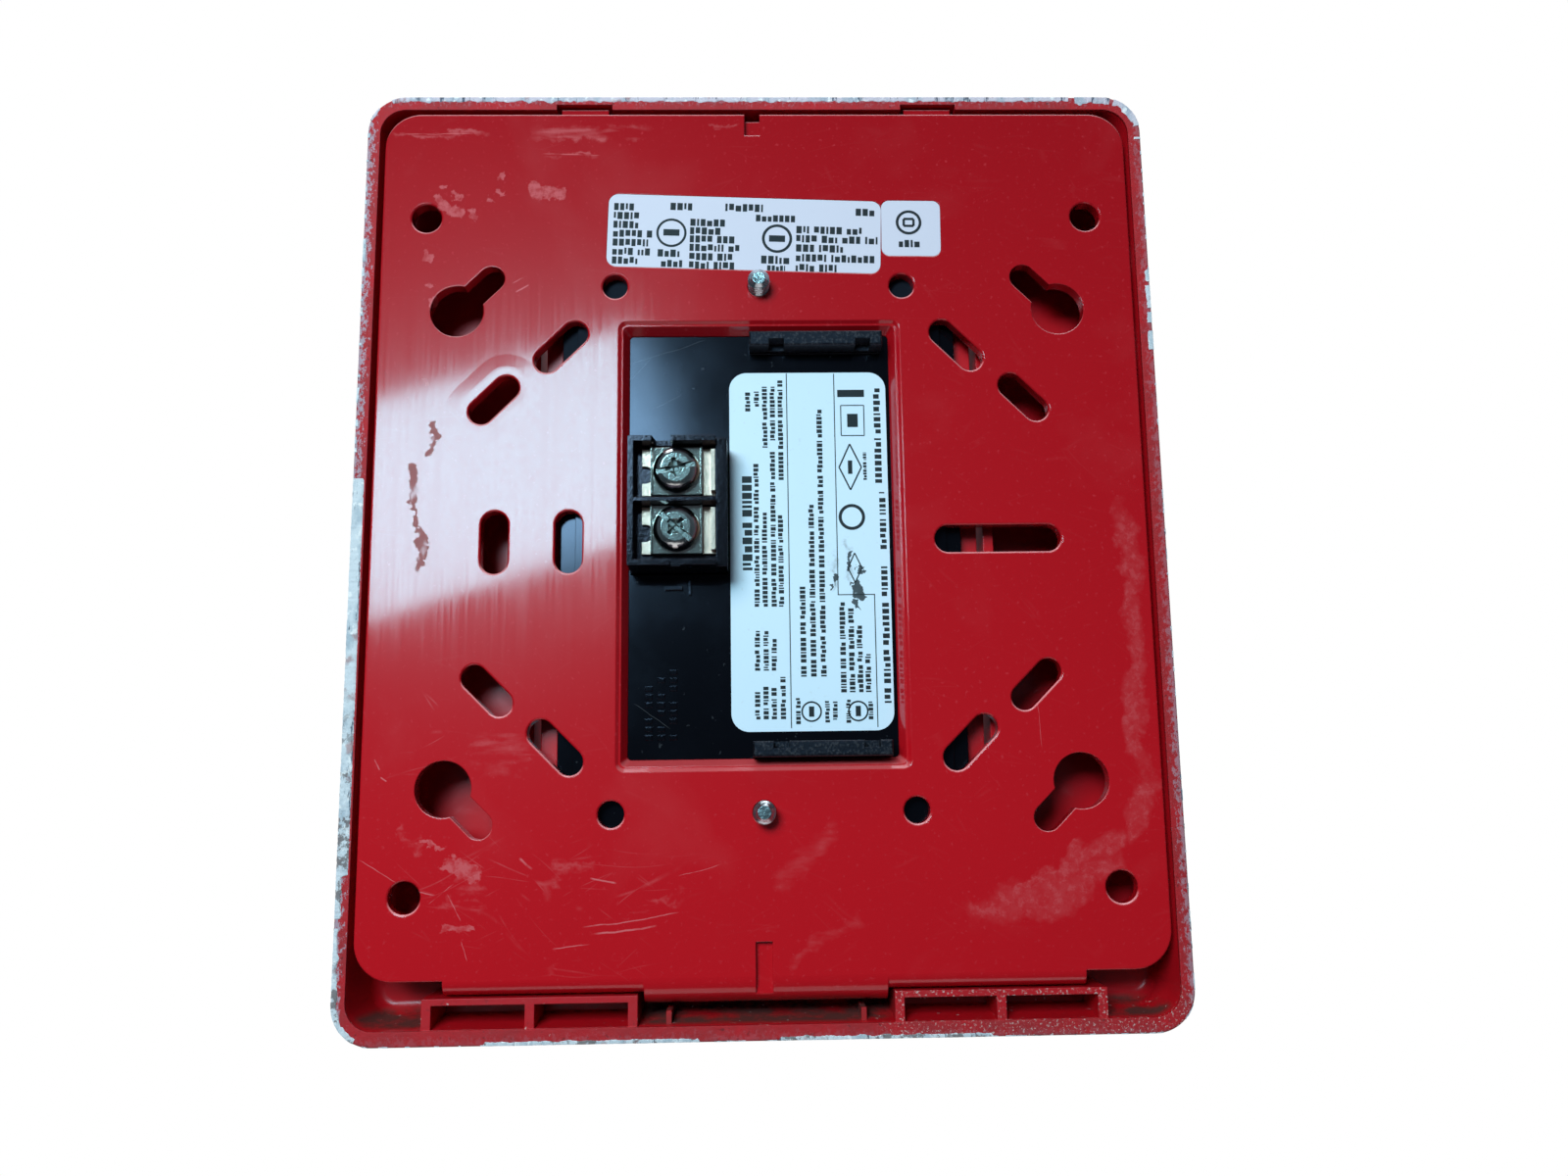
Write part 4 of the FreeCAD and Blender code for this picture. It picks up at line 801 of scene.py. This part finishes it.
class Print:
    """Greeked print on a label: small blocks in place of words, rings and frames in place of marks.

    u runs along the reading direction and v up the letters, in millimetres from the label's middle."""

    HALF_THICKNESS = 0.02 * MM
    # How much taller the letters are than asked, and their widths, ends and spaces as shares of their height.
    TALLER = 1.08
    LETTER_WIDTHS = (0.28, 0.55, 0.6, 0.65, 0.7)
    LETTER_ENDS = ((0, 1), (0, 1), (0, 1), (0, 0.78), (0.16, 1))
    WORD_SPACE = 0.45
    RING_SIDES = 40

    def __init__(self, name, node, tilt=0.0, upright=True):
        self.name, self.bm = name, bmesh.new()
        low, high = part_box(node)
        self.middle = Vector(((low.x + high.x) / 2, high.y, (low.z + high.z) / 2))
        level = Vector((-1, 0, 0)) if upright else Vector((0, 0, 1))
        self.along = Quaternion((0, 1, 0), math.radians(tilt)) @ level
        self.up = self.along.cross(Vector((0, -1, 0)))
        self.random = random.Random(name)

    def at(self, u, v, lift=0.0):
        return self.middle + self.along * (u * MM) + self.up * (v * MM) + Vector((0, lift, 0))

    def solid(self, outline):
        """A thin block on the label from an outline of (u, v) points."""
        low = [self.bm.verts.new(self.at(u, v, -self.HALF_THICKNESS)) for u, v in outline]
        top = [self.bm.verts.new(self.at(u, v, self.HALF_THICKNESS)) for u, v in outline]
        self.bm.faces.new(top)
        self.bm.faces.new(low[::-1])
        for i in range(len(outline)):
            j = (i + 1) % len(outline)
            self.bm.faces.new((low[i], low[j], top[j], top[i]))

    def bar(self, u0, u1, v0, v1):
        self.solid([(u0, v0), (u1, v0), (u1, v1), (u0, v1)])

    def line(self, u0, u1, v, height, gap=0.20):
        """A row of letter-sized blocks grouped like words, with its middle at v."""
        height *= self.TALLER
        u, v0 = u0, v - height / 2
        left = self.random.randint(3, 8)
        while u < u1 - height * 0.2:
            width = height * self.random.choice(self.LETTER_WIDTHS)
            low, high = self.random.choice(self.LETTER_ENDS)
            self.bar(u, min(u + width, u1), v0 + height * low, v0 + height * high)
            u += width + height * gap
            left -= 1
            if left == 0:
                u += height * self.WORD_SPACE
                left = self.random.randint(3, 9)

    def ring(self, u, v, radius, width):
        inner = radius - width
        turns = [i * math.tau / self.RING_SIDES for i in range(self.RING_SIDES)]
        ways = [(math.cos(turn), math.sin(turn)) for turn in turns]
        for (c0, s0), (c1, s1) in zip(ways, ways[1:] + ways[:1]):
            self.solid([(u + c0 * radius, v + s0 * radius), (u + c1 * radius, v + s1 * radius),
                        (u + c1 * inner, v + s1 * inner), (u + c0 * inner, v + s0 * inner)])

    def frame(self, corners, width):
        """A closed run of straight strokes."""
        for (u0, v0), (u1, v1) in zip(corners, corners[1:] + corners[:1]):
            length = math.hypot(u1 - u0, v1 - v0)
            du, dv = (v0 - v1) / length * width / 2, (u1 - u0) / length * width / 2
            self.solid([(u0 - du, v0 - dv), (u1 - du, v1 - dv), (u1 + du, v1 + dv), (u0 + du, v0 + dv)])

    def finish(self, ink):
        bmesh.ops.recalc_face_normals(self.bm, faces=self.bm.faces)
        piece = mesh_object(self.name, self.bm)
        piece.data.materials.append(ink)
        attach(piece, "base")


def plate_label_print(ink):
    marks = Print("plate_label_print", "plate_label", tilt=-1.9)
    for row, u1 in enumerate((-17.9, -17.1, -17.2, -14.7, -15.5, -15.0, -17.0)):
        marks.line(-21.2, u1, 4.05 - 1.53 * row, 1.12)
    marks.line(-12.1, -8.4, 4.35, 1.15)
    marks.line(-3.2, 2.9, 4.45, 1.2)
    marks.line(18.0, 21.2, 4.25, 1.15)
    marks.ring(-11.8, -0.2, 2.45, 0.38)
    marks.bar(-13.1, -10.5, -0.7, 0.4)
    marks.line(-13.9, -9.5, -3.7, 1.15)
    marks.line(-13.3, -9.9, -5.45, 1.1)
    for v, u1 in ((1.7, -3.2), (0.25, -3.9), (-1.15, -1.6), (-2.6, -0.7), (-4.15, -1.2), (-5.6, -1.5)):
        marks.line(-8.8, u1, v, 1.12)
    marks.line(1.8, 8.3, 2.75, 1.05)
    marks.ring(5.3, -0.7, 2.45, 0.45)
    marks.bar(4.0, 6.6, -1.25, -0.15)
    marks.line(2.8, 7.6, -4.35, 1.25)
    marks.line(3.8, 6.7, -5.75, 0.8)
    for v, u1 in ((0.95, 19.0), (-0.6, 21.6), (-2.2, 16.0), (-3.85, 21.1), (-5.55, 15.5)):
        marks.line(8.4, u1, v, 1.15)
    marks.finish(ink)


def approval_label_print(ink):
    marks = Print("approval_label_print", "approval_label", tilt=-0.7)
    marks.ring(-0.35, 1.0, 2.1, 0.45)
    marks.frame([(-1.15, 0.4), (0.45, 0.4), (0.45, 1.6), (-1.15, 1.6)], 0.4)
    marks.line(-2.0, 1.7, -2.65, 1.15)
    marks.finish(ink)


def rating_label_print(ink):
    """Lines that read upwards, in three columns with rules between them."""
    marks = Print("rating_label_print", "rating_label", upright=False)
    marks.bar(-28.2, 28.6, 3.27, 3.42)
    marks.bar(-7.5, 28.5, -4.35, -4.2)
    marks.bar(-7.6, -7.45, -10.0, -4.2)
    marks.bar(-28.2, -7.45, -10.05, -9.9)
    marks.line(-3.5, 11.8, 9.85, 1.42)
    small = ((22.3, 25.5, 9.6), (23.1, 25.6, 8.2), (16.3, 26.4, 6.9), (17.5, 26.4, 5.65), (11.0, 27.5, 4.4),
             (-9.3, 13.8, 8.4), (-9.3, 5.8, 7.15), (-9.3, 15.6, 5.75), (-9.3, 5.5, 4.6), (-26.8, -22.6, 8.5),
             (-19.3, -13.1, 8.45), (-26.8, -21.7, 7.2), (-19.3, -12.9, 7.1), (-26.8, -21.7, 5.95),
             (-19.3, -14.1, 5.85), (-26.8, -20.3, 4.55))
    medium = ((-20.3, -6.2, 1.3), (-20.3, 7.0, -0.25), (-20.3, 22.8, -1.8), (-22.8, -8.7, -4.85),
              (-22.8, -9.7, -6.2), (-22.8, -12.1, -7.45), (-22.8, -16.9, -8.7))
    by_rings = ((-27.6, -23.6, 2.25), (-27.4, -24.1, -2.25), (-27.0, -24.2, -3.45), (-27.5, -23.7, -5.5),
                (-27.0, -24.0, -8.95))
    large = ((10.4, 26.3, -11.1, 1.0), (-0.3, 8.9, -11.6, 0.92), (-7.8, -3.1, -11.6, 0.92),
             (-24.5, -8.8, -11.65, 0.98))
    for lines, height in ((small, 0.74), (medium, 0.80)):
        for u0, u1, v in lines:
            marks.line(u0, u1, v, height)
    for v in (0.2, -7.0):
        marks.ring(-25.7, v, 1.6, 0.26)
        marks.bar(-26.5, -24.9, v - 0.4, v + 0.4)
    for u0, u1, v in by_rings:
        marks.line(u0, u1, v, 0.66)
    marks.frame([(9.3, -6.6), (13.0, -4.85), (16.8, -6.6), (13.0, -8.4)], 0.24)
    marks.bar(11.9, 14.1, -6.95, -6.25)
    marks.line(10.9, 15.4, -8.95, 0.5)
    marks.frame([(18.2, -9.0), (23.2, -9.0), (23.2, -5.3), (18.2, -5.3)], 0.16)
    marks.bar(19.6, 21.8, -8.0, -6.3)
    marks.bar(24.6, 25.8, -9.1, -4.8)
    marks.ring(4.9, -6.7, 2.1, 0.5)
    marks.frame([(-5.6, -7.0), (-3.3, -5.9), (-0.9, -7.0), (-3.3, -8.1)], 0.2)
    for u0, u1, v, height in large:
        marks.line(u0, u1, v, height, gap=0.3)
    marks.finish(ink)


def make_prints():
    ink = moulded("label_ink", (0.014, 0.014, 0.018), 0.5)
    plate_label_print(ink)
    approval_label_print(ink)
    rating_label_print(ink)


# ---- old paint on the trim's rim ---------------------------------------------------------------------------

# Millimetres. The rim's outline is drawn just inside the trim's outer faces.
RIM_HALF = (63.42, 74.52)
RIM_RADIUS = 6.1
RIM_WIDTH = 1.85
CORNER_STEPS = 27
CHIP_STEP = 0.35
LEAST_REACH = 0.13
SIDE_DEPTH = -0.75
REAR_SINK = -0.03


def rim_outline():
    """Points (x, z) and outward directions round the trim's outer edge, in millimetres."""
    (hw, hh), r = RIM_HALF, RIM_RADIUS
    points = []
    for k, (sx, sz) in enumerate(((1, 1), (-1, 1), (-1, -1), (1, -1))):
        centre = (sx * (hw - r), sz * (hh - r))
        start = k * math.pi / 2
        for i in range(CORNER_STEPS + 1):
            turn = start + i / CORNER_STEPS * math.pi / 2
            way = (math.cos(turn), math.sin(turn))
            points.append((centre[0] + r * way[0], centre[1] + r * way[1], way))
    loop = []
    for (x0, z0, w0), (x1, z1, w1) in zip(points, points[1:] + points[:1]):
        length = math.hypot(x1 - x0, z1 - z0)
        count = max(1, round(length / CHIP_STEP))
        for i in range(count):
            t = i / count
            loop.append((x0 + (x1 - x0) * t, z0 + (z1 - z0) * t, w0 if t < 0.5 else w1))
    return loop


def paint_cover(x, z):
    """How wide the paint is at a place on the rim, in millimetres, and how much of the outline has any."""
    on_left, on_right, on_top, on_bottom = x > 60, x < -60, z > 66, z < -70
    if on_left and z < 10.4:
        return (2.6, 1.0) if z > -50 else (0.85, 0.75)
    if on_left:
        return (0.45, 0.45)
    if z > 70 and x > -52:
        return (0.85, 0.97)
    if on_top:
        return (1.2, 0.6) if x < 0 else (0.4, 0.5)
    if on_bottom:
        return (0.6, 0.9) if -33 < x < -2 or 10 < x < 41 else (0.16, 0.5)
    if on_right and 30 < z < 44:
        return (0.8, 0.55)
    return (0.22, 0.42)


def make_chips():
    """Flakes of paint that wrap the outer corner of the rim, as one mesh of ragged strips.

    Each place on the outline has a section of points: how far in from the outline, and how high."""
    bm, rows = bmesh.new(), []
    for x, z, way in rim_outline():
        wide, share = paint_cover(x, z)
        here = Vector((x * 0.55, 0, z * 0.55))
        bare = noise.noise(here * 1.3 + Vector((7, 0, 0))) * 0.5 + 0.5
        if bare > share and share < 0.99:
            rows.append(None)
            continue
        reach = wide * (1.0 + 0.42 * noise.noise(here * 1.1) + 0.30 * noise.noise(here * 3.0))
        reach = min(max(reach, LEAST_REACH), RIM_WIDTH)
        high = 0.08 + 0.06 * noise.noise(here * 3.1 + Vector((0, 3, 0)))
        inset = 0.02 + 0.10 * abs(noise.noise(here * 5.0))
        section = ((inset, SIDE_DEPTH), (inset, high * 0.5), (inset + 0.12, high),
                   (reach * 0.8, high * 0.9), (reach, REAR_SINK))
        rows.append([bm.verts.new(Vector((x - way[0] * d, y, z - way[1] * d)) * MM) for d, y in section])
    for a, b in zip(rows, rows[1:] + rows[:1]):
        if a and b:
            for k in range(len(a) - 1):
                bm.faces.new((a[k], a[k + 1], b[k + 1], b[k]))
    bmesh.ops.delete(bm, geom=[v for v in bm.verts if not v.link_faces], context="VERTS")
    bmesh.ops.recalc_face_normals(bm, faces=bm.faces)
    chips = mesh_object("old_wall_paint", bm)
    chips.data.materials.append(old_paint())
    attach(chips, "trim")


# ---- run ---------------------------------------------------------------------------------------------------

bpy.context.scene.view_settings.view_transform = "Standard"
make_camera()
make_lights()
make_world()
make_floor()
make_materials()
make_prints()
make_chips()
